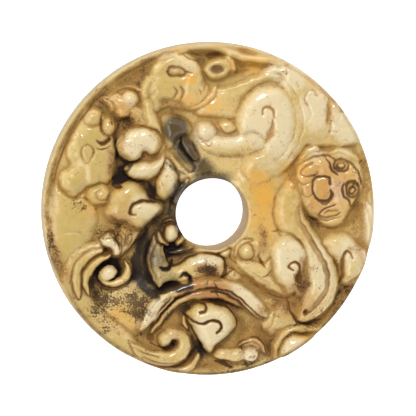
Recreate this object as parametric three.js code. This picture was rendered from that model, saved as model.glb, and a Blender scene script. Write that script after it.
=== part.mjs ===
// Jade bi disc: a thick ring of jade, its face carved in high relief with chi dragons.
// Millimetres, +Z up. It lies on its plain underside at z = 0, with the carved face up.
import * as THREE from "three";

// Sizes of the disc, in millimetres.
const OUTER_DIAMETER = 60;
const HOLE_DIAMETER = 12.8;
const HOLE_OFFSET_X = 0.3; // the hole was drilled a little off the disc's centre
const HOLE_OFFSET_Y = -0.6;
const GROUND_THICKNESS = 6.8; // from the underside to the sunk ground between the figures
const RELIEF_HEIGHT = 3.2; // from the ground to the highest crest
const SIDE_BULGE = 0.25; // how far the side swells out between its two edges
const FACE_ROUNDING = 0.9; // roundings of the four edges
const UNDERSIDE_ROUNDING = 1;
const HOLE_ROUNDING = 0.5;
const RIM_SLOPE_WIDTH = 2.4; // figures that reach the rim bend down over this width

// How finely the rounded surfaces are cut into flat facets.
const RIM_SEGMENTS = 200;
const FACE_RINGS = 30;
const SIDE_STEPS = 1;
const UNDERSIDE_STEPS = 1;
const FACE_EDGE_STEPS = 2;
const STEPS_PER_STATION = 5;

// Levels of the relief, as shares of its height above the sunk ground.
const CREST = 1;
const HAUNCH = 0.9;
const BODY = 0.76;
const LIMB = 0.62;
const STRAND = 0.5;
const FIELD = 0.34;
const HOLLOW = 0.14;

// Roundness of a ridge across its width: 1 is a tent, larger is flatter on top.
const RIDGE_FULLNESS = 2.4;
const RIDGE_SHOULDER = 0.62;
// Width, in percent of the radius, over which a swell rises to its full height.
const SWELL_EDGE = 9;
// Width of the sunk line that is cut round each form.
const GAP = 2.6;
// The face is evened out over this distance, so that its facets run smoothly over the forms.
const SOFTNESS = 2.3;
const SOFTNESS_RINGS = 2;
const SOFTNESS_SAMPLES = 6;

const outerRadius = OUTER_DIAMETER / 2;
const holeRadius = HOLE_DIAMETER / 2;
const percent = outerRadius / 100;

const mix = (a, b, t) => a + (b - a) * t;
const smooth = (t) => t * t * (3 - 2 * t);

// The carving is laid out in percent of the disc's radius: u to the right and v up.
// Each form below is a function that takes a place and the height carved so far,
// and gives back the height there once the form is carved as well.

// A smooth line through hand-placed stations. The third number of a station is the half width.
function smoothLine(stations, closed = false) {
  const points = stations.map(([u, v, half = 0]) => new THREE.Vector3(u, v, half));
  const line = new THREE.CatmullRomCurve3(points, closed);
  return line.getPoints(points.length * STEPS_PER_STATION);
}

// Keeps a form from being worked out at places too far off for it to touch.
function near(line, gap, form) {
  const box = new THREE.Box3().setFromPoints(line);
  const margin = gap + box.max.z;
  return (u, v, below) => {
    const beside = u < box.min.x - margin || u > box.max.x + margin;
    const beyond = v < box.min.y - margin || v > box.max.y + margin;
    return beside || beyond ? below : form(u, v, below);
  };
}

// How far a place lies outside a line's edge, and how far across the line it lies: 0 mid, 1 edge.
function across(line, u, v) {
  let outside = Infinity;
  let share = Infinity;
  for (let i = 1; i < line.length; i++) {
    const a = line[i - 1];
    const b = line[i];
    const du = b.x - a.x;
    const dv = b.y - a.y;
    const along = ((u - a.x) * du + (v - a.y) * dv) / (du * du + dv * dv || 1);
    const t = THREE.MathUtils.clamp(along, 0, 1);
    const distance = Math.hypot(u - a.x - du * t, v - a.y - dv * t);
    const half = mix(a.z, b.z, t);
    if (distance - half < outside) {
      outside = distance - half;
      share = half > 0 ? distance / half : Infinity;
    }
  }
  return { outside, share };
}

// The sunk line round a form takes what was carved before down to the form's foot.
function sunk(below, foot, outside, gap) {
  if (outside >= gap) return below;
  const back = outside <= 0 ? 0 : smooth(outside / gap);
  return mix(Math.min(below, foot), below, back);
}

// A strand, limb or body: a rounded ridge along a line.
function ridge(level, foot, stations, gap = GAP) {
  const line = smoothLine(stations);
  return near(line, gap, (u, v, below) => {
    const { outside, share } = across(line, u, v);
    const rest = sunk(below, foot, outside, gap);
    if (share >= 1) return rest;
    const rise = (1 - share ** RIDGE_FULLNESS) ** RIDGE_SHOULDER;
    return Math.max(rest, mix(foot, level, rise));
  });
}

// A haunch, head or shoulder: a swelling inside a closed outline.
function swell(level, foot, outline, gap = GAP) {
  const line = smoothLine(outline, true);
  return near(line, gap, (u, v, below) => {
    const { outside: distance } = across(line, u, v);
    let inside = false;
    for (let i = 1; i < line.length; i++) {
      const a = line[i - 1];
      const b = line[i];
      const crosses = a.y > v !== b.y > v;
      if (crosses && u < a.x + ((v - a.y) / (b.y - a.y)) * (b.x - a.x)) inside = !inside;
    }
    if (!inside) return sunk(below, foot, distance, gap);
    const rest = Math.min(below, foot);
    const left = 1 - Math.min(distance / SWELL_EDGE, 1);
    const rise = (1 - left ** RIDGE_FULLNESS) ** RIDGE_SHOULDER;
    return Math.max(rest, mix(foot, level, rise));
  });
}

// A knuckle, curl end or boss: a round or oval mound.
function mound(level, foot, u0, v0, radiusU, radiusV = radiusU, gap = GAP) {
  const size = Math.min(radiusU, radiusV);
  return (u, v, below) => {
    const share = Math.hypot((u - u0) / radiusU, (v - v0) / radiusV);
    const rest = sunk(below, foot, (share - 1) * size, gap);
    if (share >= 1) return rest;
    const rise = (1 - share ** RIDGE_FULLNESS) ** RIDGE_SHOULDER;
    return Math.max(rest, mix(foot, level, rise));
  };
}

// A cut line, deepest in the middle of its width.
function groove(depth, stations) {
  const line = smoothLine(stations);
  return near(line, 0, (u, v, below) => {
    const { share } = across(line, u, v);
    return share >= 1 ? below : below - depth * (1 - share * share);
  });
}

// A low field that the figures stand on: it lifts the ground and has no edge of its own.
function field(level, u0, v0, radiusU, radiusV) {
  return (u, v, below) => {
    const share = Math.hypot((u - u0) / radiusU, (v - v0) / radiusV);
    return share >= 1 ? below : Math.max(below, level * (1 - share ** 4));
  };
}

// The ground: low fields beside and above the hole, and at the lower left and lower right.
function groundForms() {
  return [
    field(STRAND, 29, 0, 22, 46),
    field(FIELD, 0, 29, 34, 16),
    field(FIELD, -48, -57, 22, 17),
    field(FIELD, 44, -62, 22, 16),
    field(HOLLOW, -14, 42, 20, 24),
  ];
}

// The great dragon at the top: a head in profile, a long neck and body, and a coiled haunch.
function topDragon() {
  return [
    swell(BODY, 0.12, [
      [24, 80], [36, 87], [46, 89], [57, 83], [66, 75], [70, 64], [69, 52],
      [64, 41], [57, 41], [53, 54], [49, 65], [41, 75], [32, 76],
    ]),
    swell(LIMB, 0.1, [[68, 46], [77, 42], [89, 41], [87, 53], [79, 62], [73, 58]]),
    swell(STRAND, 0.2, [
      [4, 73], [14, 74.5], [27, 79], [41, 81], [30, 76], [20, 68], [14, 57],
      [2, 56], [-9, 58], [-2, 65],
    ]),
    ridge(BODY, 0.2, [[40, 79, 3], [49, 71, 4], [54, 60, 4], [54, 48, 4], [48, 35, 4], [39, 25, 3]], 1),
    swell(CREST, 0.28, [
      [15, 55], [18, 63], [26, 72], [37, 75], [44, 70], [49.5, 61], [50, 51],
      [46, 41], [37, 30], [27, 22], [22, 31], [18, 43],
    ]),
    groove(0.3, [[30, 58, 1.4], [31, 62, 1.6], [35, 62, 1.6], [37.5, 56, 1.4]]),
    groove(0.4, [[37, 55, 1], [36, 48, 3.2], [33, 40, 2]]),
    ridge(LIMB, 0.25, [[23, 40, 7], [12, 39, 6], [3, 40, 6], [-4, 43, 5]]),
    mound(BODY, 0.3, 9, 50, 5, 4, 1.4),
    mound(HAUNCH, 0.3, -3, 47.5, 6, 5, 1.4),
    swell(BODY, 0.1, [
      [-35, 84], [-31, 91], [-21, 96], [-10, 92], [-4, 83], [2, 72], [-5, 63], [-14, 60],
      [-27, 63], [-31, 59], [-36, 56], [-41, 66], [-40, 77],
    ]),
    ridge(HAUNCH, 0.5, [[-33, 84, 3], [-24, 90, 5], [-13, 87, 6], [-9, 78, 6], [-14, 69, 5]], 0),
    ridge(BODY, 0.3, [[-37, 78, 3], [-39, 70, 3], [-38, 63, 3], [-33, 54, 2.6], [-29, 42, 2.4]], 1),
    ridge(BODY, 0.3, [[-12, 61, 1.6], [-4, 64, 2], [1, 69, 2], [4, 75, 1.6]], 1),
    ridge(BODY, 0.1, [[-18, 95, 1.6], [-8, 97, 2], [4, 97, 2], [13, 93.5, 2.4], [24, 90, 2.6], [35, 90, 2.4]]),
    mound(BODY, 0.1, 4, 85, 9, 7),
    mound(0.15, 0.15, 4, 85, 5, 3, 0.6),
    mound(0.05, 0.05, 21, 84, 10, 3, 1),
  ];
}

// The beast at the right, seen from above: a broad head, a long body with a cut spine, two haunches.
function rightDragon() {
  return [
    ridge(BODY, 0.12, [[56, -7, 3.4], [63, -17, 4.6], [70, -29, 5], [74.5, -42, 4.6], [70, -56, 5], [58, -65, 3]]),
    ridge(HAUNCH, 0.2, [
      [45, 13, 7], [44, 2, 8], [47, -9, 8], [55, -20, 7], [61, -31, 8], [62, -43, 8], [57, -56, 5],
    ], 0.6),
    groove(0.22, [[57, 6, 1], [52, -2, 1.5], [57, -14, 1.5], [67, -30, 1.5], [70, -44, 1.5], [58, -61, 1]]),
    swell(HAUNCH, 0.2, [[35, -27], [38, -17], [47, -15], [55, -21], [57, -33], [54, -45], [46, -50], [38, -41]], 1.2),
    groove(0.3, [[47, -35, 1.2], [48, -31.5, 1.4], [53, -33, 1.6], [53, -40, 3], [54, -47, 2]]),
    ridge(LIMB, 0.1, [[40, -39, 5], [31, -36, 4.5], [25, -31, 4]]),
    ridge(LIMB, 0.1, [[13, -36, 2], [24, -41, 2.6], [36, -46, 2.8], [48, -50, 2.6]], 1.6),
    mound(BODY, 0.15, 20.5, -26, 4.8, 5),
    swell(HAUNCH, 0.12, [
      [67, -18], [75, -13.5], [85, -17], [94, -26], [93, -34], [87, -44], [79, -45], [77, -35], [70, -27],
    ]),
    groove(0.25, [[85, -29, 1], [82, -25.5, 1.4], [79, -31, 1.8], [79, -42, 2]]),
    ridge(LIMB, 0.12, [[93.5, 3, 3], [95, -6, 4], [94, -20, 2.6]]),
    swell(BODY, 0.1, [
      [51, 20], [54, 30], [62, 37.5], [68, 34], [78, 36.5], [88, 31], [92, 17],
      [87, 4], [81, -6], [72, -11], [62, -6], [56, 6],
    ]),
    ridge(HAUNCH, 0.5, [[70, 27, 4], [76, 17, 6], [79, 6, 4]], 0),
    ridge(HAUNCH, 0.4, [[63, 16, 4], [65, 9, 4.6], [71, 6, 3]], 0),
    mound(0.42, 0.42, 57.5, 23.5, 4.2, 3, 0.8),
    mound(BODY, 0.4, 78, 26.5, 3.4, 3.4, 1.2),
    mound(BODY, 0.4, 85, 11.5, 3.4, 3.6, 1.2),
    ridge(BODY, 0.35, [[65, -2, 2], [71, -1.5, 2.4], [78, -0.5, 2]], 1.2),
  ];
}

// The dragon at the left, its head pointing down, with a smooth body along the rim.
function leftDragon() {
  return [
    ridge(LIMB, 0.1, [
      [-83, 6, 15], [-85, -10, 15], [-90, -28, 8], [-85, -47, 9], [-73, -63, 9], [-59, -75, 8], [-45, -82, 5],
    ]),
    swell(BODY, 0.1, [
      [-70, 63], [-77, 57], [-84, 43], [-86, 34], [-85, 28], [-91, 20], [-88, 12], [-80, 9],
      [-75, 15], [-61, 17], [-57, 27], [-57, 42], [-58, 52],
    ]),
    ridge(HAUNCH, 0.4, [[-80, 42, 4], [-73, 35, 7], [-70, 24, 8], [-80, 17, 6]], 0),
    mound(HAUNCH, 0.35, -70, 57, 6, 5.4, 1.2),
    mound(HAUNCH, 0.35, -61, 51, 5, 5.6, 1.2),
    mound(BODY, 0.25, -67, 11, 7.5, 6.6, 1.4),
    mound(0.02, 0.02, -77, 8.4, 3.2, 2.6, 1),
    mound(BODY, 0.12, -56, 66, 4.4, 4.8),
    mound(HAUNCH, 0.2, -47, 67, 5, 5, 1),
    ridge(LIMB, 0.15, [[-46, 62, 4], [-41, 55, 4.4], [-38, 49, 4]], 1),
    swell(CREST, 0.12, [
      [-55, 41], [-51, 48], [-44, 50], [-34, 49], [-28, 43], [-29, 37], [-38, 31], [-47, 30.5], [-53, 35],
    ]),
    ridge(BODY, 0.06, [[-50, 25, 3], [-43, 24.5, 4.6], [-36, 26, 5.4], [-30, 31, 3.6]]),
    swell(BODY, 0.06, [[-26, 31], [-21, 24], [-20.5, 15], [-25, 8.4], [-30, 10], [-32, 17], [-30, 24]]),
    ridge(STRAND, 0.06, [[-15, 17, 2.2], [-19, 11, 2.2], [-22, 5, 2]], 1.4),
    swell(BODY, 0.08, [[-29, 56], [-24, 58], [-16, 55], [-12, 49], [-18, 43], [-23, 38], [-28, 46]]),
    ridge(STRAND, 0.06, [[-21, 39, 2.6], [-17, 33, 3], [-12, 27, 3]], 1.4),
  ];
}

// The small dragon left of the hole: a coiled haunch and a tail that fans out at the lower left.
function fanTail() {
  return [
    swell(HAUNCH, 0.08, [
      [-61, 11], [-52, 18], [-43, 17.5], [-37, 10], [-28, 3], [-34, -5], [-43, -17], [-56, -28],
      [-51, -15], [-55, -6], [-63, 0],
    ]),
    groove(0.3, [[-34, 6, 1.4], [-42, 6, 1.6], [-49, 3, 1.6], [-46, -1.5, 1.2]]),
    ridge(LIMB, 0.1, [[-65, -18, 2], [-75, -22, 2.6], [-83, -31, 3], [-85, -44, 2.4]], 1.4),
    ridge(LIMB, 0.1, [[-64, -22, 2], [-73, -27, 2.6], [-78.5, -36, 2.6], [-78, -46, 2]], 1.4),
    ridge(LIMB, 0.06, [[-60, -25, 1.6], [-68, -29, 2.2], [-73, -37, 2.4], [-73, -46, 1.6]], 1.4),
    ridge(BODY, 0.02, [[-52, -30, 1.6], [-50.5, -37, 2.6], [-56, -43, 3], [-63, -42.5, 3.2], [-66.5, -38, 2.2]]),
    mound(BODY, 0.04, -60.5, -36.5, 4.6, 4.2, 1.4),
    ridge(BODY, 0.08, [[-64.5, -18, 2.8], [-59, -18.5, 3.6], [-56.5, -23.5, 3.4]], 1.6),
  ];
}

// The dragon below the hole: an arched body with a cut spine, a coiled haunch, paws and curled tails.
function lowerDragon() {
  return [
    swell(LIMB, 0.08, [
      [-32, -13], [-37.5, -23], [-38, -33], [-31, -46], [-22, -42], [-12, -43], [6, -41.5],
      [9, -34], [4, -26], [-8, -25.5], [-19, -31], [-27, -29], [-28, -19],
    ]),
    groove(0.3, [[-31, -33, 1.2], [-27, -34, 1.5], [-23, -30, 1.4]]),
    groove(0.3, [[-13, -43, 1.4], [-13, -38, 1.6], [-18, -38, 1.4], [-19, -41, 1]]),
    mound(BODY, 0.1, -24, -13, 5, 5.6, 1.2),
    ridge(STRAND, 0.06, [[-31.5, -12, 1.6], [-29.5, -17, 2], [-25, -20, 1.6]], 1),
    ridge(STRAND, 0.06, [[-17.5, -12, 1.6], [-17.5, -16.5, 2], [-20.5, -19.5, 1.4]], 1),
    ridge(LIMB, 0.08, [
      [-39, -76, 2], [-31, -67, 4], [-24, -57, 4], [-12, -51.5, 3.4], [4, -50.5, 3.4], [17, -57, 3.4], [30, -67, 2],
    ], 1.6),
    ridge(BODY, 0.2, [
      [-45, -72, 3.4], [-37, -62, 5], [-28, -53, 4.4], [-16, -47, 3.6], [0, -44.5, 3.6],
      [14, -47.5, 4.4], [26, -56, 4.8], [36, -66, 3],
    ], 1.4),
    swell(CREST, 0.1, [
      [-15, -62], [-10, -56], [1, -55.5], [12, -60], [15.5, -68], [11, -76], [2, -86], [-6, -79], [-11, -69],
    ]),
    groove(0.3, [[-14, -63, 1.2], [-6, -67, 1.5], [2, -65, 1.5], [5.5, -69, 1.4], [3, -73, 1]]),
    ridge(STRAND, 0.06, [[-40, -93, 2], [-26, -96, 2.4], [-12, -94.5, 2.4], [-7.5, -86, 2.2]], 1.4),
    ridge(LIMB, 0.06, [
      [-52, -80, 4], [-40, -87, 4.6], [-26, -89, 4.6], [-15.5, -84, 4.4], [-16, -76, 4], [-24, -72.5, 3.2],
    ]),
    mound(BODY, 0.06, -27.5, -76.5, 4.2, 4.6, 1.2),
    ridge(STRAND, 0.08, [[-15.5, -63, 1.4], [-15, -68, 1.8], [-13, -72, 1]], 1),
    ridge(LIMB, 0.08, [[3, -87, 3.4], [11, -88, 4.4], [19, -88, 4]]),
    ridge(STRAND, 0.08, [[16, -83, 1.6], [22, -79.5, 2], [29, -80, 2], [32, -86, 1.6]], 1),
    mound(BODY, 0.15, 24, -86.5, 5.2, 5.2, 1),
    ridge(LIMB, 0.1, [[38, -86, 2], [41, -78, 2.4], [48, -72, 2.4], [61, -72, 2]], 1.4),
    swell(LIMB, 0.1, [[41, -86], [44, -78], [51, -75], [63, -76], [55, -83], [47, -88]], 1.4),
  ];
}

const carving = [
  ...groundForms(),
  ...leftDragon(),
  ...fanTail(),
  ...topDragon(),
  ...lowerDragon(),
  ...rightDragon(),
];

const levelAt = (u, v) => carving.reduce((below, form) => form(u, v, below), 0);

// Height of the carved face above the underside at a place in millimetres.
function faceHeight(x, y) {
  const u = x / percent;
  const v = y / percent;
  let total = levelAt(u, v);
  for (let i = 0; i < SOFTNESS_RINGS * SOFTNESS_SAMPLES; i++) {
    const turn = (i / SOFTNESS_SAMPLES / SOFTNESS_RINGS) * 2 * Math.PI;
    const reach = (SOFTNESS * (1 + (i % SOFTNESS_RINGS))) / SOFTNESS_RINGS;
    total += levelAt(u + reach * Math.cos(turn), v + reach * Math.sin(turn));
  }
  const level = Math.max(total / (SOFTNESS_RINGS * SOFTNESS_SAMPLES + 1), 0);
  const fromRim = Math.max(outerRadius - Math.hypot(x, y), 0);
  const inward = Math.min(fromRim / RIM_SLOPE_WIDTH, 1);
  const slope = Math.sqrt(1 - (1 - inward) ** 2);
  return GROUND_THICKNESS + RELIEF_HEIGHT * Math.min(level, slope);
}

// A ring of points. Its centre moves from the hole's to the disc's as it grows,
// and heightAt gives the height at each place.
function ring(radius, heightAt) {
  const toDisc = THREE.MathUtils.clamp((radius - holeRadius) / (outerRadius - holeRadius), 0, 1);
  const centreX = mix(HOLE_OFFSET_X, 0, toDisc);
  const centreY = mix(HOLE_OFFSET_Y, 0, toDisc);
  const count = Math.round((RIM_SEGMENTS * radius) / outerRadius);
  return Array.from({ length: count }, (_, i) => {
    const angle = (i / count) * 2 * Math.PI;
    const x = centreX + radius * Math.cos(angle);
    const y = centreY + radius * Math.sin(angle);
    return new THREE.Vector3(x, y, heightAt(x, y));
  });
}

// The rings of the disc in order round its section: underside outwards, side upwards,
// face inwards and hole downwards.
function discRings() {
  const rings = [];
  const quarter = Math.PI / 2;
  const sideRadius = outerRadius - SIDE_BULGE;

  const undersideInner = holeRadius + HOLE_ROUNDING;
  const undersideOuter = sideRadius - UNDERSIDE_ROUNDING;
  for (const share of [0, 0.5, 1]) {
    rings.push(ring(mix(undersideInner, undersideOuter, share), () => 0));
  }

  for (let i = 1; i <= UNDERSIDE_STEPS; i++) {
    const turn = (quarter * i) / UNDERSIDE_STEPS;
    const radius = undersideOuter + UNDERSIDE_ROUNDING * Math.sin(turn);
    rings.push(ring(radius, () => UNDERSIDE_ROUNDING * (1 - Math.cos(turn))));
  }

  const sideTop = GROUND_THICKNESS - FACE_ROUNDING;
  for (let i = 1; i <= SIDE_STEPS; i++) {
    const share = i / (SIDE_STEPS + 1);
    const radius = sideRadius + SIDE_BULGE * Math.sin(Math.PI * share);
    rings.push(ring(radius, () => mix(UNDERSIDE_ROUNDING, sideTop, share)));
  }

  for (let i = 0; i < FACE_EDGE_STEPS; i++) {
    const turn = (quarter * i) / FACE_EDGE_STEPS;
    const radius = sideRadius - FACE_ROUNDING * (1 - Math.cos(turn));
    rings.push(ring(radius, (x, y) => faceHeight(x, y) - FACE_ROUNDING * (1 - Math.sin(turn))));
  }

  const faceOuter = sideRadius - FACE_ROUNDING;
  const faceInner = holeRadius + HOLE_ROUNDING;
  for (let i = 0; i <= FACE_RINGS; i++) {
    rings.push(ring(mix(faceOuter, faceInner, i / FACE_RINGS), faceHeight));
  }

  for (let i = 1; i <= FACE_EDGE_STEPS; i++) {
    const turn = (quarter * i) / FACE_EDGE_STEPS;
    const radius = holeRadius + HOLE_ROUNDING * (1 - Math.sin(turn));
    rings.push(ring(radius, (x, y) => faceHeight(x, y) - HOLE_ROUNDING * (1 - Math.cos(turn))));
  }
  rings.push(ring(holeRadius, () => HOLE_ROUNDING));
  return rings;
}

// Joins two neighbouring rings, whatever their numbers of points. Each step takes the shorter
// diagonal, so that the facets' edges run along the forms and not across them.
function joinRings(positions, first, second) {
  let i = 0;
  let j = 0;
  while (i < first.length || j < second.length) {
    const a = first[i % first.length];
    const b = second[j % second.length];
    const nextA = first[(i + 1) % first.length];
    const nextB = second[(j + 1) % second.length];
    const shorter = nextA.distanceTo(b) <= a.distanceTo(nextB);
    const takeFirst = i < first.length && (j >= second.length || shorter);
    positions.push(...a.toArray(), ...(takeFirst ? nextA : nextB).toArray(), ...b.toArray());
    if (takeFirst) i++;
    else j++;
  }
}

function discGeometry() {
  const rings = discRings();
  const positions = [];
  rings.forEach((inner, i) => joinRings(positions, inner, rings[(i + 1) % rings.length]));
  const geometry = new THREE.BufferGeometry();
  geometry.setAttribute("position", new THREE.Float32BufferAttribute(positions, 3));
  geometry.computeVertexNormals();
  return geometry;
}

const jade = new THREE.MeshStandardMaterial({ color: 0xd9c48a, roughness: 0.32, metalness: 0 });

const disc = new THREE.Mesh(discGeometry(), jade);
disc.name = "bi_disc";

const biDisc = new THREE.Group();
biDisc.name = "jade_bi_disc";
biDisc.add(disc);

export default biDisc;
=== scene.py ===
"""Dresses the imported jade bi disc: the fine carving, the stone with its stains, the floor, lights and camera."""
import math

import bmesh
import bpy
import numpy as np
from bpy.props import FloatProperty, FloatVectorProperty, IntProperty, PointerProperty
from mathutils import Matrix, Vector


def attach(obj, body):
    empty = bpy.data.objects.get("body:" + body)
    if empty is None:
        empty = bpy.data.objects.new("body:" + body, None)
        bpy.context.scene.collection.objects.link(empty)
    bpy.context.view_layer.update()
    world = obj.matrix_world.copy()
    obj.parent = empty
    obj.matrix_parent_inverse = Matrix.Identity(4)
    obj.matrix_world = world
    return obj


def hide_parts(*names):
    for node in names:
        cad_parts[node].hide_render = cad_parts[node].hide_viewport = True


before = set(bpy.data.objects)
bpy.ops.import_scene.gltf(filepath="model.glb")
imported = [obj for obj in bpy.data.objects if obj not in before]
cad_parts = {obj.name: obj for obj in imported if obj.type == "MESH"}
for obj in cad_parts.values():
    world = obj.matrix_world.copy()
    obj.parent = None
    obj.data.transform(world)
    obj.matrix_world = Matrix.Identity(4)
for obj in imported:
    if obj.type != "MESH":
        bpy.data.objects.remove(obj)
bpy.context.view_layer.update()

bl_info = {
    "name": "Jade Bi Disc",
    "version": (1, 0, 0),
    "blender": (4, 5, 0),
    "location": "View3D > Sidebar > Bi Disc",
    "description": "Builds the carved jade disc and its plain studio",
    "category": "Add Mesh",
}

MM = 0.001
RADIUS = 30.0
HOLE_RADIUS = 6.4
HOLE_X = 0.3
HOLE_Y = -0.6
THICKNESS = 10.0
GROUND = 6.8
FACE_ROUNDING = 0.9
UNDER_ROUNDING = 1.0
HOLE_ROUNDING = 0.5
SIDE_BULGE = 0.25
UNIT = RADIUS / 100
LIFT_FROM = 1.4
LIFT_OVER = GROUND - 2.2
STAIN_FROM = 3.0
STAIN_OVER = 3.0

CANVAS = 1024
REACH = 102.0

# Waves of a cutting hand: their size in millimetres, their turns along x and y, and their start.
SWAY_X = ((0.07, 1.9, 1.1, 0.3), (0.05, -1.6, 2.9, 2.1), (0.03, 5.2, 4.1, 4.4))
SWAY_Y = ((0.07, 1.3, -2.1, 1.7), (0.05, 2.4, 1.9, 5.0), (0.03, -4.9, 4.6, 0.8))

# The stage, in metres.
FLOOR_HALF = 3.0
FLOOR_DROP = 0.0001
FILL_PLACE, FILL_SIZE = (-0.5, -0.1, 0.7), 0.5
KEY_PLACE, KEY_SIZE = (-0.12, 0.45, 0.6), 0.13
AIM_HEIGHT = 0.004
SENSOR_WIDTH = 36
SHIFT_UP = 0.00185


# Lines and forms of the carving, in percent of the radius: u to the right, v up.

def smooth(t):
    """A soft step from 0 to 1."""
    t = np.clip(t, 0, 1)
    return t * t * (3 - 2 * t)


def smooth_line(stations, closed=False, steps=6):
    """A soft line through its stations, whose third number is the half width there."""
    points = [tuple(p) + (0.0,) * (3 - len(p)) for p in stations]
    if closed:
        around = [points[-1], *points, points[0], points[1]]
    else:
        first = tuple(2 * a - b for a, b in zip(points[0], points[1]))
        last = tuple(2 * a - b for a, b in zip(points[-1], points[-2]))
        around = [first, *points, last]
    around = np.array(around, float)
    line = []
    for k in range(len(around) - 3):
        p0, p1, p2, p3 = around[k:k + 4]
        for j in range(steps):
            t = j / steps
            line.append(0.5 * (2 * p1 + (p2 - p0) * t + (2 * p0 - 5 * p1 + 4 * p2 - p3) * t * t
                               + (3 * p1 - p0 - 3 * p2 + p3) * t ** 3))
    line.append(around[-2])
    line = np.array(line)
    line[:, 2] = np.maximum(line[:, 2], 0.0)
    return line


def across(line, u, v):
    """How far each place is outside a line's width, and its distance as a share of that width."""
    outside = np.full(u.shape, 1e9)
    share = np.full(u.shape, 1e9)
    for a, b in zip(line[:-1], line[1:]):
        du, dv = b[0] - a[0], b[1] - a[1]
        t = np.clip(((u - a[0]) * du + (v - a[1]) * dv) / ((du * du + dv * dv) or 1.0), 0, 1)
        distance = np.hypot(u - a[0] - du * t, v - a[1] - dv * t)
        half = a[2] + (b[2] - a[2]) * t
        nearer = distance - half < outside
        outside = np.where(nearer, distance - half, outside)
        share = np.where(nearer, distance / np.maximum(half, 1e-6), share)
    return outside, share


def inside_of(line, u, v):
    """Which places a closed line goes round."""
    inside = np.zeros(u.shape, bool)
    for a, b in zip(line[:-1], line[1:]):
        if a[1] != b[1]:
            crosses = (a[1] > v) != (b[1] > v)
            inside ^= crosses & (u < a[0] + (v - a[1]) / (b[1] - a[1]) * (b[0] - a[0]))
    return inside


def blur(values, radius):
    """Evens a canvas out with three box passes."""
    width = max(1, int(round(radius / (2 * REACH / (CANVAS - 1)))))
    span = 2 * width + 1
    for _ in range(3):
        for axis in (0, 1):
            padded = np.concatenate([np.take(values, [0] * (width + 1), axis), values,
                                     np.take(values, [-1] * width, axis)], axis)
            total = np.cumsum(padded, axis)
            n = values.shape[axis]
            values = (np.take(total, np.arange(span, span + n), axis)
                      - np.take(total, np.arange(n), axis)) / span
    return values


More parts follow.
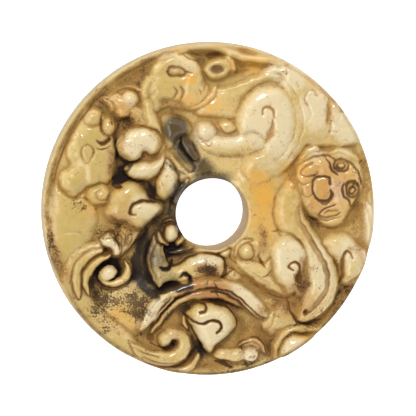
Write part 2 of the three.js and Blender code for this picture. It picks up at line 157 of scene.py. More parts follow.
class Canvas:
    """The carved face seen from above: its height, its cut lines and the masks of its colours."""

    def __init__(self):
        axis = np.linspace(-REACH, REACH, CANVAS)
        self.u, self.v = np.meshgrid(axis, axis)
        self.level = np.zeros_like(self.u)
        self.cut = np.zeros_like(self.u)
        self.masks = {}

    def window(self, line, margin):
        """The part of the canvas that a line and its margin cover."""
        reach = margin + line[:, 2].max()
        scale = (CANVAS - 1) / (2 * REACH)
        low = np.clip(np.floor((line[:, :2].min(0) - reach + REACH) * scale), 0, CANVAS).astype(int)
        high = np.clip(np.ceil((line[:, :2].max(0) + reach + REACH) * scale) + 1, 0, CANVAS).astype(int)
        return slice(low[1], high[1]), slice(low[0], high[0])

    def oval(self, u0, v0, ru, rv, turn, margin=2.0):
        """A part of the canvas and each place's distance from an oval's centre, 1 on its edge."""
        place = self.window(np.array([[u0, v0, max(ru, rv)]]), margin)
        du, dv = self.u[place] - u0, self.v[place] - v0
        c, s = math.cos(math.radians(turn)), math.sin(math.radians(turn))
        return place, np.hypot((du * c + dv * s) / ru, (dv * c - du * s) / rv)

    def sink(self, place, foot, outside, gap, line):
        """Takes what lies round a new form down to its foot, so that its edge stands clear."""
        level, cut = self.level[place], self.cut[place]
        if gap > 0:
            lower = np.minimum(level, foot)
            level[:] = lower + (level - lower) * smooth(outside / gap)
        cut *= smooth(outside / 0.8 + 0.2)
        cut[:] = np.maximum(cut, line * np.exp(-(np.abs(outside + 0.15) / 0.8) ** 2))

    def raise_to(self, place, within, foot, level, rise):
        """Lifts the places within a form from its foot towards its level."""
        now = self.level[place]
        self.level[place] = np.where(within, np.maximum(now, foot + (level - foot) * rise), now)

    def ridge(self, level, foot, stations, gap=1.4, line=0.8, full=2.5, shoulder=0.62):
        """A long rounded form along its stations."""
        path = smooth_line(stations)
        place = self.window(path, max(gap, 2.0))
        outside, share = across(path, self.u[place], self.v[place])
        self.sink(place, foot, outside, gap, line)
        self.raise_to(place, share < 1, foot, level, (1 - np.clip(share, 0, 1) ** full) ** shoulder)

    def swell(self, level, foot, outline, gap=1.4, line=0.8, edge=8.0, full=2.5, shoulder=0.62):
        """A form with an outline, rounded in from its edge."""
        path = smooth_line(outline, closed=True)
        place = self.window(path, max(gap, 2.0))
        u, v = self.u[place], self.v[place]
        outside, _ = across(path, u, v)
        within = inside_of(path, u, v)
        outside = np.where(within, -outside, outside)
        self.sink(place, foot, outside, gap, line)
        left = 1 - np.clip(-outside / edge, 0, 1)
        self.raise_to(place, within, foot, level, (1 - left ** full) ** shoulder)

    def mound(self, level, foot, u0, v0, ru, rv=None, turn=0, gap=1.2, line=0.8, full=2.3, shoulder=0.65):
        """An oval dome."""
        rv = rv or ru
        place, share = self.oval(u0, v0, ru, rv, turn)
        self.sink(place, foot, (share - 1) * min(ru, rv), gap, line)
        self.raise_to(place, share < 1, foot, level, (1 - np.clip(share, 0, 1) ** full) ** shoulder)

    def groove(self, depth, stations, line=1.0):
        """A cut line along its stations."""
        path = smooth_line(stations)
        place = self.window(path, 0.5)
        _, share = across(path, self.u[place], self.v[place])
        dip = np.clip(1 - share ** 2, 0, 1)
        self.level[place] -= depth * dip
        self.cut[place] = np.maximum(self.cut[place], line * dip ** 0.7)

    def hollow(self, level, u0, v0, ru, rv=None, turn=0, line=0.5):
        """An oval dish."""
        place, share = self.oval(u0, v0, ru, rv or ru, turn)
        dip = smooth((1 - share) * 2.2)
        now = self.level[place]
        self.level[place] = now + (np.minimum(now, level) - now) * dip
        self.cut[place] = np.maximum(self.cut[place], line * dip)

    def field(self, level, u0, v0, ru, rv=None, turn=0):
        """A wide soft rise of the ground."""
        place, share = self.oval(u0, v0, ru, rv or ru, turn)
        self.level[place] = np.maximum(self.level[place], level * smooth((1 - share) * 1.8))

    def patch(self, name, strength, u0, v0, ru, rv=None, turn=0):
        """Adds a soft patch to a colour mask."""
        mask = self.masks.setdefault(name, np.zeros_like(self.u))
        place, share = self.oval(u0, v0, ru * 1.5, (rv or ru) * 1.5, turn)
        fall = smooth((1 - share) * 1.5)
        mask[place] = mask[place] + (strength - mask[place]) * fall if strength < 0.01 else \
            np.maximum(mask[place], strength * fall)

    def streak(self, name, strength, stations):
        """Adds a soft band along a line to a colour mask."""
        mask = self.masks.setdefault(name, np.zeros_like(self.u))
        path = smooth_line(stations)
        place = self.window(path, 6.0)
        _, share = across(path, self.u[place], self.v[place])
        mask[place] = np.maximum(mask[place], strength * smooth((1.6 - share) / 1.3))


# The carving, group by group, each later one over the ones before it.

def ground(f):
    """Where the ground stays high round the hole and along the left."""
    f.field(0.52, 29, 0, 26, 50)
    f.field(0.36, 0, 30, 38, 20)
    f.field(0.26, -46, -57, 26, 20)
    f.field(0.22, 44, -62, 24, 18)
    f.field(0.16, -62, 74, 60, 9, -38)
    f.field(0.2, -85, 0, 26, 70)
    f.field(0.42, 3, -25, 15, 5)
    f.field(0.3, 13, -38, 9, 7)


def left_dragon(f):
    """The dragon at the left, whose head points down, with its long body along the rim."""
    f.ridge(0.6, 0.1, [(-84, 8, 14), (-84, -6, 16), (-88, -20, 11), (-90, -34, 7), (-84, -50, 9), (-72, -65, 10),
                       (-58, -76, 9), (-46, -83, 5)], line=0.15)
    f.swell(0.78, 0.1, [(-71, 63), (-77, 57), (-81, 49), (-85, 41), (-86, 34), (-84, 28.5), (-88.5, 25), (-91, 19),
                        (-88, 12), (-81, 9), (-76, 13), (-69, 16), (-61, 17), (-57, 27), (-56, 36), (-58, 44),
                        (-58, 53), (-64, 58)], edge=10, line=0.5)
    f.ridge(0.9, 0.5, [(-80, 44, 3), (-76, 36, 5), (-71, 27, 6), (-71, 20, 5)], gap=0, line=0)
    f.groove(0.12, [(-86, 25, 0.6), (-82, 27.5, 0.8), (-80, 28, 0.4)], 0.4)
    f.groove(0.12, [(-85, 25, 0.5), (-88.5, 22, 0.8), (-90, 17, 0.8), (-88, 13, 0.7), (-82, 12, 0.4)], 0.35)
    f.mound(0.86, 0.42, -70, 56.5, 6.3, 5.2, 0, line=0.5)
    f.mound(0.9, 0.42, -61.3, 51, 4.6, 5.6, 0, line=0.6)
    f.groove(0.25, [(-64.5, 59, 0.8), (-66, 54, 1.2), (-65, 48, 0.8)], 0.9)
    f.groove(0.28, [(-68.5, 43, 0.6), (-65, 41.3, 1.5), (-60.6, 43.8, 1.3)], 1.0)
    f.groove(0.16, [(-68.5, 38.8, 0.4), (-65, 37.8, 0.8), (-60.5, 39.6, 0.6)], 0.8)
    f.groove(0.2, [(-74, 41, 0.5), (-77.5, 38, 0.9), (-77, 33, 0.9), (-74, 29, 0.4)], 0.7)
    f.groove(0.2, [(-74, 41, 0.5), (-70.6, 38.5, 0.8), (-71, 33.5, 0.8), (-74, 29, 0.4)], 0.7)
    f.groove(0.12, [(-86, 18, 0.3), (-88, 15, 0.5), (-84, 12, 0.4)], 0.25)
    f.mound(0.8, 0.2, -66.8, 11, 8, 6.6, 0, line=0.5)
    f.groove(0.2, [(-60, 12.5, 0.4), (-63, 7.6, 0.9), (-67.4, 8.2, 0.9), (-68.4, 12, 0.8), (-65, 14, 0.5)], 0.7)
    f.groove(0.1, [(-81, 8.4, 0.4), (-77, 9, 0.8), (-73.6, 7, 0.5)], 0.8)


def upper_left_paw(f):
    """The paw between the left dragon and the great one."""
    f.ridge(0.62, 0.1, [(-50, 63, 5), (-44, 57.5, 5), (-38.6, 52, 4.6)], line=0.5, gap=1.2)
    f.groove(0.12, [(-45.6, 62, 0.4), (-41.6, 58, 0.8), (-38, 53, 0.4)], 0.5)
    f.mound(0.68, 0.2, -55.6, 65, 5, 6, 10, line=0.6, gap=1.2)
    f.mound(0.66, 0.3, -52.6, 59.4, 4.4, 4, line=0.5, gap=0.8)
    f.mound(0.86, 0.3, -48.4, 67.4, 5.6, 5, line=0.6, gap=0.8)
    f.ridge(0.7, 0.5, [(-54, 65, 3.6), (-50, 65, 3.6)], gap=0, line=0)
    f.groove(0.2, [(-58, 70, 0.5), (-52, 73, 0.8), (-46, 72.6, 0.8), (-42.4, 68, 0.8), (-41.6, 62, 0.5)], 0.9)
    f.ridge(0.44, 0.1, [(-50, 74.6, 0.8), (-46, 74.6, 1.2), (-42.4, 72.4, 0.8)], gap=0.6, line=0.4)
    f.hollow(0.04, -49.4, 53.4, 5.6, 3.6, -35, line=0.7)
    f.groove(0.2, [(-54.6, 56.6, 0.5), (-51, 55.4, 1), (-48.4, 58.6, 0.6)], 0.9)
    f.ridge(0.36, 0.1, [(-64.6, 67.6, 1), (-60, 64.4, 1.4), (-58.4, 60, 1)], gap=0.6, line=0.5)


def centre_left(f):
    """The lobes and leaves between the left dragon and the hole."""
    f.ridge(0.58, 0.06, [(-19.5, 44, 2), (-21.5, 38, 2.8), (-17, 32, 3), (-12, 26, 2.6)], line=0.6, gap=1)
    f.ridge(0.78, 0.3, [(-38, 64, 3.4), (-36, 57, 3.6), (-33.6, 50, 4), (-31.6, 43, 4.4), (-31, 38, 3.4)], gap=1,
            line=0.3)
    f.swell(0.72, 0.06, [(-29.6, 56), (-25, 58), (-19, 57), (-13.4, 53.4), (-11, 48.5), (-14, 44.6), (-20, 43),
                         (-22, 38), (-26.6, 38), (-28.6, 46)], edge=6, gap=1.2, line=0.6)
    f.ridge(0.62, 0.4, [(-26, 55.6, 0.6), (-19.6, 54.6, 0.9), (-14.4, 51, 0.9), (-13, 47.6, 0.5)], gap=0.5, line=0)
    f.ridge(0.34, 0.02, [(-15.5, 43, 2.6), (-13, 38, 3.4), (-9, 32, 2.6)], line=0.7, gap=1)
    f.groove(0.14, [(-16, 46, 0.5), (-15, 42, 0.8), (-12, 39, 0.5)], 0.6)
    f.groove(0.12, [(-12, 44, 0.4), (-13.5, 41, 0.6), (-12, 38, 0.4)], 0.5)
    f.swell(1.0, 0.04, [(-57, 38), (-55.6, 44), (-50.6, 48.8), (-45, 51), (-38, 50.4), (-32.4, 48.6), (-29, 43),
                        (-29, 38.6), (-32, 35), (-36.6, 33.4), (-39, 36), (-41.6, 32.6), (-46, 30), (-52.6, 32)],
            edge=8, line=0.7, gap=1.0, full=3)
    f.mound(1.0, 0.8, -39, 45, 6, 4.4, -10, gap=0, line=0)
    f.groove(0.16, [(-33.6, 48.6, 0.4), (-30.6, 44, 0.8), (-30, 39, 0.5)], 0.25)
    f.groove(0.1, [(-54, 46, 0.4), (-50, 45, 0.8), (-48, 41.6, 0.4)], 0.12)
    f.groove(0.2, [(-40.8, 37, 0.5), (-40.4, 33, 0.7), (-36, 31.4, 0.8), (-32.4, 33.4, 0.7), (-28.4, 37.4, 0.5)], 0.6)
    f.swell(0.84, 0.2, [(-52.4, 26), (-48, 29.6), (-44, 29.6), (-40, 30.4), (-35, 30.6), (-31, 32.6), (-27.6, 35.6),
                         (-26.8, 30), (-30, 24), (-35, 19.8), (-42, 19), (-49.6, 21.6)], edge=6, line=0.6, gap=0.6,
            full=2.8)
    f.swell(0.78, 0.04, [(-26.4, 32), (-22, 27.6), (-19.2, 21), (-19.8, 13.6), (-23.6, 8), (-28.8, 6.8),
                         (-32.8, 10.6),
                         (-33.4, 17), (-31, 22.6), (-28.6, 27)], edge=6, line=0.8, gap=1.0, full=2.8)
    f.groove(0.1, [(-21.6, 26, 0.4), (-20.6, 19, 0.8), (-22, 12.6, 0.4)], 0.2)
    f.ridge(0.46, 0.04, [(-13.6, 19, 1.2), (-18.5, 13, 2), (-21.6, 6, 1.6)], line=0.7, gap=1)


def centre_body(f):
    """The body left of the hole."""
    f.ridge(0.56, 0.1, [(-45, -6, 8), (-48.6, -13, 6.4), (-52.6, -19.4, 5), (-56.6, -24.6, 2.6)], line=0.6)
    f.swell(0.86, 0.06, [(-60.5, 10), (-56.5, 15), (-51, 18), (-45, 17.8), (-40, 14), (-36, 8), (-29, 4.4),
                         (-28.8, 0), (-33, -4), (-38, -9), (-44, -12), (-50, -8), (-58, -6), (-63, -1)],
            edge=9, line=0.35, gap=0.7)
    f.ridge(0.8, 0.4, [(-54.6, -11.4, 0.7), (-52.2, -15, 1.3), (-52.8, -19.6, 0.8)], gap=0.5, line=0.5)
    f.ridge(0.74, 0.4, [(-50.4, -10.6, 0.6), (-48.6, -14.4, 1.2), (-50, -19, 0.7)], gap=0.5, line=0.5)
    f.groove(0.16, [(-30.6, 1, 0.5), (-36, -6, 0.9), (-42, -12.6, 0.9), (-47, -20, 0.9), (-52, -26, 0.6)], 0.8)
    f.groove(0.3, [(-30, 4.6, 0.5), (-36, 6.4, 1.1), (-42, 6.8, 1.2), (-47.6, 4, 1.4), (-48.6, -0.4, 1.1),
                   (-45, -1.4, 0.5)], 1.0)
    f.hollow(0.02, -56, 15.6, 4.4, 2.2, -15, line=0.9)


def fan_tail(f):
    """The fanned and curled tail at the lower left."""
    f.ridge(0.66, 0.4, [(-64, -18.6, 1.6), (-73, -21.6, 2.8), (-81, -26.8, 3.2), (-85.4, -33.4, 3.2),
                        (-86.6, -41, 3), (-83.6, -50, 1.6)], line=0.3, gap=0.6)
    f.ridge(0.68, 0.36, [(-65.6, -22, 1.8), (-74, -26, 2.8), (-79.8, -33.4, 3), (-80.4, -42, 2.8),
                         (-79, -50, 1.6)], line=0.6, gap=0.6)
    f.ridge(0.7, 0.25, [(-60.4, -25.6, 1.4), (-67.4, -28.8, 2.4), (-73, -34.6, 2.8), (-75, -42, 2.6),
                        (-73, -49, 1.2)], line=0.8, gap=0.8)
    f.ridge(0.8, 0.0, [(-51.6, -28.6, 1), (-50, -33.6, 2.4), (-51, -38.6, 2.8), (-55.6, -41.4, 2.8),
                       (-61.6, -41.6, 3.2), (-65.6, -38.6, 2.2)], line=0.9, gap=1.8)
    f.mound(0.8, 0.0, -61.2, -36, 6.2, 5, 20, gap=0.6, line=0.9)
    f.ridge(0.78, 0.3, [(-61, -37.6, 3.8), (-64, -38.4, 3)], gap=0, line=0)
    f.groove(0.5, [(-60, -30.6, 0.8), (-56.4, -31, 1.2), (-54.4, -33.6, 1.2), (-55, -37, 1.1), (-57.8, -39.6, 0.9),
                   (-61, -40.2, 0.5)])
    f.swell(0.9, 0.3, [(-66.8, -15.4), (-63, -11.6), (-58, -12.6), (-55.8, -17), (-53, -21.4), (-54.8, -25.4),
                        (-58, -25.8), (-60.6, -21.6), (-65, -19.6)], edge=4, line=0.7, gap=0.9)
    f.groove(0.12, [(-64.4, -16, 0.4), (-60.6, -14.4, 0.7), (-57.4, -16.6, 0.7), (-58, -19.6, 0.4)], 0.45)
    f.groove(0.18, [(-59, -14.4, 0.5), (-56, -17.2, 0.9), (-55.2, -21.6, 0.5)], 0.9)
    f.groove(0.14, [(-55, -13, 0.4), (-52.4, -16, 0.8), (-51.6, -20, 0.5)], 0.6)
    f.groove(0.12, [(-88, -12, 0.4), (-83, -10.6, 0.8), (-77.6, -12.6, 0.8), (-75, -17.6, 0.4)], 0.12)


def below_hole(f):
    """The limb under the hole, with its knob and hook."""
    f.swell(0.74, 0.03, [(-33.4, -13), (-37, -20), (-38.6, -29), (-36.4, -38), (-31.4, -46.4), (-26, -43.4),
                         (-21, -42.4), (-16, -44), (-11, -42.6), (-3, -41), (6, -41.4), (9.4, -36), (8.6, -29),
                         (3, -26), (-6, -25), (-14, -27.6), (-20, -31.6), (-24.6, -30.6), (-27, -24), (-28.6, -17)],
            edge=8, line=0.9)
    f.groove(0.35, [(-31, -32.6, 0.6), (-28.6, -34.2, 1.1), (-25, -33.4, 1.2), (-22.6, -29, 0.8)])
    f.groove(0.32, [(-31, -46.6, 0.8), (-26, -43, 1.2), (-21.6, -42.2, 1.2), (-17, -44.2, 1.3), (-13.4, -42.4, 1.4),
                    (-13.4, -38.4, 1.4), (-16.6, -37, 1.2), (-18.6, -39.6, 0.6)])
    f.groove(0.2, [(-30, -16, 0.5), (-35, -22, 0.9), (-36, -31, 0.9), (-33, -40, 0.5)], 0.6)
    f.ridge(0.6, 0.03, [(-31.6, -12, 1.2), (-30.4, -16, 2), (-26, -19.6, 1.6)], line=1.0)
    f.ridge(0.6, 0.03, [(-18, -9, 1.0), (-16.6, -15, 2), (-20, -19.6, 1.4)], line=1.0)
    f.mound(0.82, 0.05, -23.6, -13, 4.8, 6, -10, line=1.0)
    f.groove(0.12, [(-27, -13, 0.4), (-26, -17, 0.6), (-23, -18, 0.4)], 0.5)
    f.ridge(0.3, 0.02, [(-28, -6, 0.8), (-24, -4.8, 1.2), (-20, -7, 0.8)], gap=0.6, line=0.9)
    f.ridge(0.34, 0.03, [(-25, -24.6, 0.8), (-18, -23.6, 1.8), (-10.6, -21.4, 0.8)], gap=0.6, line=0.6)


def lower_dragon(f):
    """The arched body at the bottom, its curl and the heart-shaped form under it."""
    f.ridge(0.52, 0.04, [(-37, -74, 0.6), (-33, -68, 2.2), (-27, -60, 3.8), (-21, -54, 3.6), (-12, -50.6, 3.2),
                         (-2, -49.6, 3.4), (8, -50.6, 3.4), (15, -54.4, 2.6), (20, -58.6, 1)], line=0.9, gap=1)
    f.ridge(0.84, 0.3, [(-42, -70, 1.6), (-38, -64, 3.8), (-32.6, -57, 5), (-26, -50.4, 4.4), (-17, -46.6, 3.6),
                         (-7, -43.8, 3.4), (2, -43.4, 3.6), (11, -46, 4.6), (19, -51, 5.4), (27, -58, 5),
                         (34, -65, 2)], line=0.5, gap=0.8, full=3)
    f.groove(0.2, [(-22, -51.6, 0.6), (-17, -49, 0.8), (-8, -46.8, 0.8), (2, -46, 0.9), (9, -47.4, 0.9),
                   (16, -51.4, 0.9), (22, -56.6, 0.9), (28, -62, 0.9), (34.6, -66, 0.6)])
    f.groove(0.2, [(0, -48, 0.6), (8, -49.2, 0.9), (14.6, -53, 0.9), (20.4, -58.2, 0.9), (26.4, -63.4, 0.9),
                   (34, -66.6, 0.6)], 0.9)
    f.groove(0.26, [(-12, -48.8, 0.6), (-20, -51.6, 1), (-26, -57, 1.2), (-31, -63.6, 1), (-36.6, -72, 0.6)])
    f.groove(0.16, [(-24, -51.4, 0.4), (-29, -56, 1), (-33, -61.4, 0.5)], 0.9)
    f.groove(0.14, [(-3, -41.4, 0.4), (-2.6, -46, 0.7)], 0.7)
    f.groove(0.14, [(1, -41.4, 0.4), (3.6, -46.6, 0.9)], 0.9)
    f.groove(0.12, [(2.6, -47.6, 0.5), (4, -51, 0.7)], 0.9)
    f.groove(0.22, [(-6, -53.4, 0.6), (2, -53.8, 1.5), (9, -55.2, 1.4), (14, -57.6, 0.6)], 0.9)
    f.ridge(0.4, 0.03, [(-16, -62.6, 1), (-15.6, -67, 1.8), (-13.4, -71, 0.8)], gap=1, line=0.8)
    f.ridge(0.42, 0.05, [(-30.6, -74.4, 0.6), (-27, -70.6, 1), (-21.6, -69.6, 1.2), (-16.6, -72.4, 0.6)], gap=0.6,
            line=0.7)
    f.swell(1.0, 0.04, [(-15.4, -61.4), (-12.4, -57.6), (-8, -55), (-2, -54.6), (6, -56), (12, -59.6), (15.8, -66),
                        (14, -71.6), (8.8, -76.8), (2.8, -81.6), (-0.4, -86), (-3.8, -83), (-7.6, -77), (-11.2, -70)],
            edge=9, line=0.9, gap=1.2, full=2.8)
    f.groove(0.3, [(-15, -62, 0.6), (-11, -65.4, 0.9), (-6, -67, 1), (0, -65.2, 1.1), (4.4, -65.8, 1.1),
                   (5.6, -69.4, 1), (3, -72.8, 0.8)])
    f.groove(0.28, [(-15, -57.4, 0.6), (-9, -54.6, 0.9), (-4, -56, 1), (-4, -59.6, 1), (-7.4, -60.4, 0.6)])
    f.ridge(0.5, 0.04, [(-46, -90.4, 1), (-36, -94, 2), (-26, -95.6, 2.4), (-17, -95.2, 2.4), (-10.6, -92.2, 2.4),
                        (-7.6, -85.6, 1.6)], line=0.7, gap=0.8)
    f.ridge(0.68, 0.3, [(-48, -78, 1), (-43.6, -82.6, 3.2), (-36, -87, 4.4), (-28, -88.4, 5), (-21, -87, 5),
                        (-16.4, -82.4, 4.6), (-16.2, -76.6, 3.6), (-19.6, -73, 2.8), (-24.6, -71.6, 2)], line=0.6,
            gap=0.9, full=3)
    f.mound(0.8, 0.05, -27.4, -76.4, 4.6, 5.2, 0, gap=1, line=0.8)
    f.ridge(0.76, 0.4, [(-25, -73.4, 2.8), (-19, -74.2, 2.8)], gap=0, line=0)
    f.groove(0.36, [(-23.4, -77.6, 0.6), (-22.6, -80.4, 1.2), (-25, -82.2, 0.9), (-30, -81.6, 0.8), (-36, -79, 0.7)])
    f.hollow(0.04, -36, -75.4, 4.6, 3.6, -50, line=0.8)
    f.groove(0.14, [(-45, -82, 0.4), (-39, -84.6, 0.8), (-31, -87, 0.4)], 0.7)
    f.groove(0.14, [(-42, -85.6, 0.4), (-34, -89.4, 0.8), (-24, -91, 0.8), (-15, -88.6, 0.7), (-10, -83, 0.4)], 0.6)
    f.groove(0.14, [(-40, -89.6, 0.4), (-31, -92.4, 0.8), (-22, -92.6, 0.9), (-14, -90, 0.8), (-11, -86, 0.5)], 0.8)


def lower_paw(f):
    """The small paw at the bottom."""
    f.swell(0.56, 0.08, [(3.4, -84), (8, -82), (13, -82.6), (17, -82), (20, -84), (21, -89), (17, -91), (11, -90.6),
                         (5, -89.6), (1.6, -87)], line=0.7, edge=5, gap=1.2)
    f.ridge(0.5, 0.06, [(16.4, -81.4, 0.8), (20, -78.8, 1.4), (25.6, -77.8, 1.6), (30, -80, 1.6), (32.4, -85.4, 1.2)],
            line=0.7, gap=1)
    f.ridge(0.52, 0.2, [(20, -81.6, 0.6), (25, -80.2, 0.9), (28.6, -82, 0.9), (29.6, -86, 0.8)], line=0.5, gap=0.6)
    f.mound(0.74, 0.2, 24.4, -86.4, 5, 4.8, 0, line=0.5, gap=0.7)
    f.groove(0.14, [(17, -82.6, 0.5), (17.6, -86, 0.8), (17.4, -89.6, 0.5)], 0.5)
    f.groove(0.12, [(8.6, -84, 0.5), (12, -85.6, 0.8), (15, -84.6, 0.5)], 0.35)
    f.groove(0.14, [(29.4, -83, 0.4), (29, -88, 0.8), (25.4, -91.4, 0.5)], 0.8)
    f.groove(0.3, [(2.6, -90.6, 0.8), (8, -92, 1.5), (13, -94.4, 1)])


def lower_right(f):
    """The bands that run out to the rim at the lower right."""
    f.swell(0.5, 0.16, [(30, -70), (34, -64), (40, -58), (45, -53.6), (50, -60), (54, -66), (60, -69), (50, -70.6),
                        (42, -72), (37, -75), (32, -73)], line=0.25, edge=7, gap=1)
    f.groove(0.16, [(40, -56.6, 0.4), (38.6, -62, 0.9), (37, -68, 0.8), (33.6, -73, 0.4)], 0.4)
    f.ridge(0.56, 0.1, [(38.6, -88, 1.4), (39.6, -81.6, 2), (43.4, -75.4, 2.4), (49.6, -71.8, 2.4), (57, -71.4, 2.4),
                        (65.6, -71.4, 1.2)], line=0.4, gap=0.8)
    f.swell(0.66, 0.2, [(41.6, -87), (43, -80.4), (48, -75.8), (55, -75.4), (64, -76.6), (59, -81.6), (52, -87),
                        (46, -90.6)], line=0.4, edge=7, gap=0.7)
    f.groove(0.14, [(47.4, -74.2, 0.5), (52, -73.8, 0.9), (58.6, -76, 0.5)], 0.6)
    f.groove(0.22, [(46.6, -53, 0.6), (48.4, -61, 1.1), (52, -66.2, 1.5), (58.4, -68.6, 1.7), (67, -66, 1)], 0.9)


def right_dragon(f):
    """The long body at the right, with its haunches."""
    f.ridge(0.84, 0.2, [(50, 13, 7), (46.6, 4, 8.6), (47.4, -5, 9), (52.6, -14.6, 9), (59.6, -25, 9.4),
                        (65.4, -35, 9.8),
                        (67.4, -44, 9.8), (64.6, -53, 9), (59, -60.6, 6.4), (54.6, -65, 2.4)], line=0.5, gap=1.2,
            full=3.6, shoulder=0.6)
    f.groove(0.14, [(58, 8, 0.6), (53.4, 4, 1.0), (51.4, -1, 1.2), (52.6, -7, 1.2), (56.6, -13, 1.2),
                    (60.6, -20, 1.2),
                    (64.6, -27, 1.2), (68.2, -34, 1.2), (69.8, -40.4, 1.2), (68.6, -48, 1.2), (64.8, -54, 1.1),
                    (58.8, -60, 1.0), (56, -62.6, 0.6)], 0.55)
    f.groove(0.1, [(59, 8.4, 0.4), (54.4, 4, 0.5), (52.6, -1, 0.6), (53.8, -6.6, 0.6), (57.7, -12.4, 0.6),
                   (61.7, -19.4, 0.6), (65.7, -26.4, 0.6), (69.3, -33.6, 0.6), (71, -40.4, 0.6), (69.7, -48.6, 0.6),
                   (65.6, -55, 0.6), (59.4, -61, 0.6), (56.4, -63.4, 0.4)], 0.95)
    f.groove(0.08, [(57, 7.2, 0.4), (52.2, 3.6, 0.4), (50.2, -1, 0.5), (51.4, -7.4, 0.5), (55.5, -13.6, 0.5),
                    (59.5, -20.6, 0.5), (63.5, -27.6, 0.5), (67.1, -34.4, 0.5), (68.6, -40.4, 0.5),
                    (67.5, -47.4, 0.5),
                    (64, -53, 0.5), (58.2, -59, 0.5)], 0.75)
    f.hollow(0.35, 56.6, -61.4, 2.4, 1.6, 30, line=0.8)
    f.swell(0.96, 0.4, [(35.4, -27), (37, -20), (41, -15.6), (46.6, -15), (52, -17.6), (56, -22.4), (57.6, -29),
                        (57, -35), (55.6, -42), (51, -48.6), (46, -51), (40.6, -46.6), (36.6, -40), (35, -33)],
            line=0.3, edge=12, gap=0.9, full=3)
    f.mound(0.6, 0.5, 55.4, -47, 4.4, 12, 12, gap=0, line=0, full=4)
    f.groove(0.2, [(36.4, -13, 0.5), (41, -12, 0.9), (47, -14, 1), (52, -17, 1.1), (55.6, -21.8, 0.8)], 0.7)
    f.groove(0.3, [(49, -36, 0.7), (46.4, -34, 0.9), (47.2, -31.4, 1), (50.8, -31, 1.1), (53, -34, 1.3),
                   (53, -38, 1.5)])
    f.hollow(0.4, 52.6, -41, 3, 4.6, 10, line=1.0)
    f.swell(0.62, 0.14, [(36, -28), (33, -31.6), (29, -30.6), (25, -30), (20, -29.6), (15, -30), (16, -34), (22, -39),
                         (29, -44.6), (37, -49.4), (45, -51.6), (43, -46), (38, -40)], line=0.35, gap=0.8, edge=7)
    f.groove(0.12, [(10, -32.6, 0.6), (16, -36.6, 0.9), (23, -42, 1), (31, -48, 1.1), (40, -52.4, 1.1),
                    (48, -53, 0.8)], 0.7)
    f.groove(0.12, [(17, -31.4, 0.4), (24, -36.4, 0.7), (32, -42, 0.8), (40, -46.6, 0.5)], 0.3)
    f.mound(0.76, 0.2, 21.4, -24.6, 4.6, 5.2, 20, line=0.6, gap=1)
    f.ridge(0.5, 0.2, [(14.6, -27.6, 1), (16, -22, 1.4), (19.4, -18.6, 1.4), (24, -18, 1)], line=0.6, gap=0.7)
    f.groove(0.14, [(20.6, -16, 0.4), (24.6, -17, 0.8), (27, -20.6, 0.5)], 0.3)
    f.groove(0.16, [(28.6, -26.6, 0.7), (30.4, -30.6, 1.2), (33, -34, 0.6)], 0.8)
    f.groove(0.12, [(30.4, -39.6, 0.4), (33.4, -39, 0.8), (36, -36.4, 0.4)], 0.8)
    f.groove(0.18, [(3.6, -26, 0.4), (6, -25, 0.7), (12.4, -22.6, 0.7), (11.4, -28, 0.7), (15.4, -31.6, 0.4)], 0.7)
    f.groove(0.18, [(4.6, -25, 0.5), (7.8, -29.6, 0.7), (8.4, -33, 0.7), (6.4, -40, 0.9), (10.6, -38, 0.7),
                    (14.6, -34.6, 0.5)], 0.8)
    f.swell(0.9, 0.16, [(67, -20), (70, -15.4), (74, -13.6), (80, -14.4), (85, -17), (88, -20.6), (93, -24.6),
                        (94.6, -31), (91.6, -39), (87, -44), (80.6, -45.6), (77.6, -41), (76.6, -33), (71.6, -27)],
            line=0.45, edge=9, gap=1, full=2.8)
    f.groove(0.16, [(66.6, -21, 0.4), (68.6, -16, 0.8), (74, -13, 0.8), (81, -13.6, 0.8), (86.6, -17, 0.8),
                    (92, -23, 0.4)], 0.55)
    f.groove(0.3, [(85, -29.6, 0.7), (84, -26, 1), (81, -25.2, 1.2), (79, -28.6, 1.4), (79, -34, 1.5),
                   (79.4, -39, 1.5), (77.6, -44, 1.2)])
    f.groove(0.14, [(91, -36.4, 0.5), (87.6, -40.4, 0.8), (82, -43.4, 0.5)], 0.8)
    f.ridge(0.7, 0.2, [(92.6, 3, 2), (94.4, -3, 3.6), (95.6, -11, 3.6), (95, -20, 2.2)], line=0.4, gap=1)


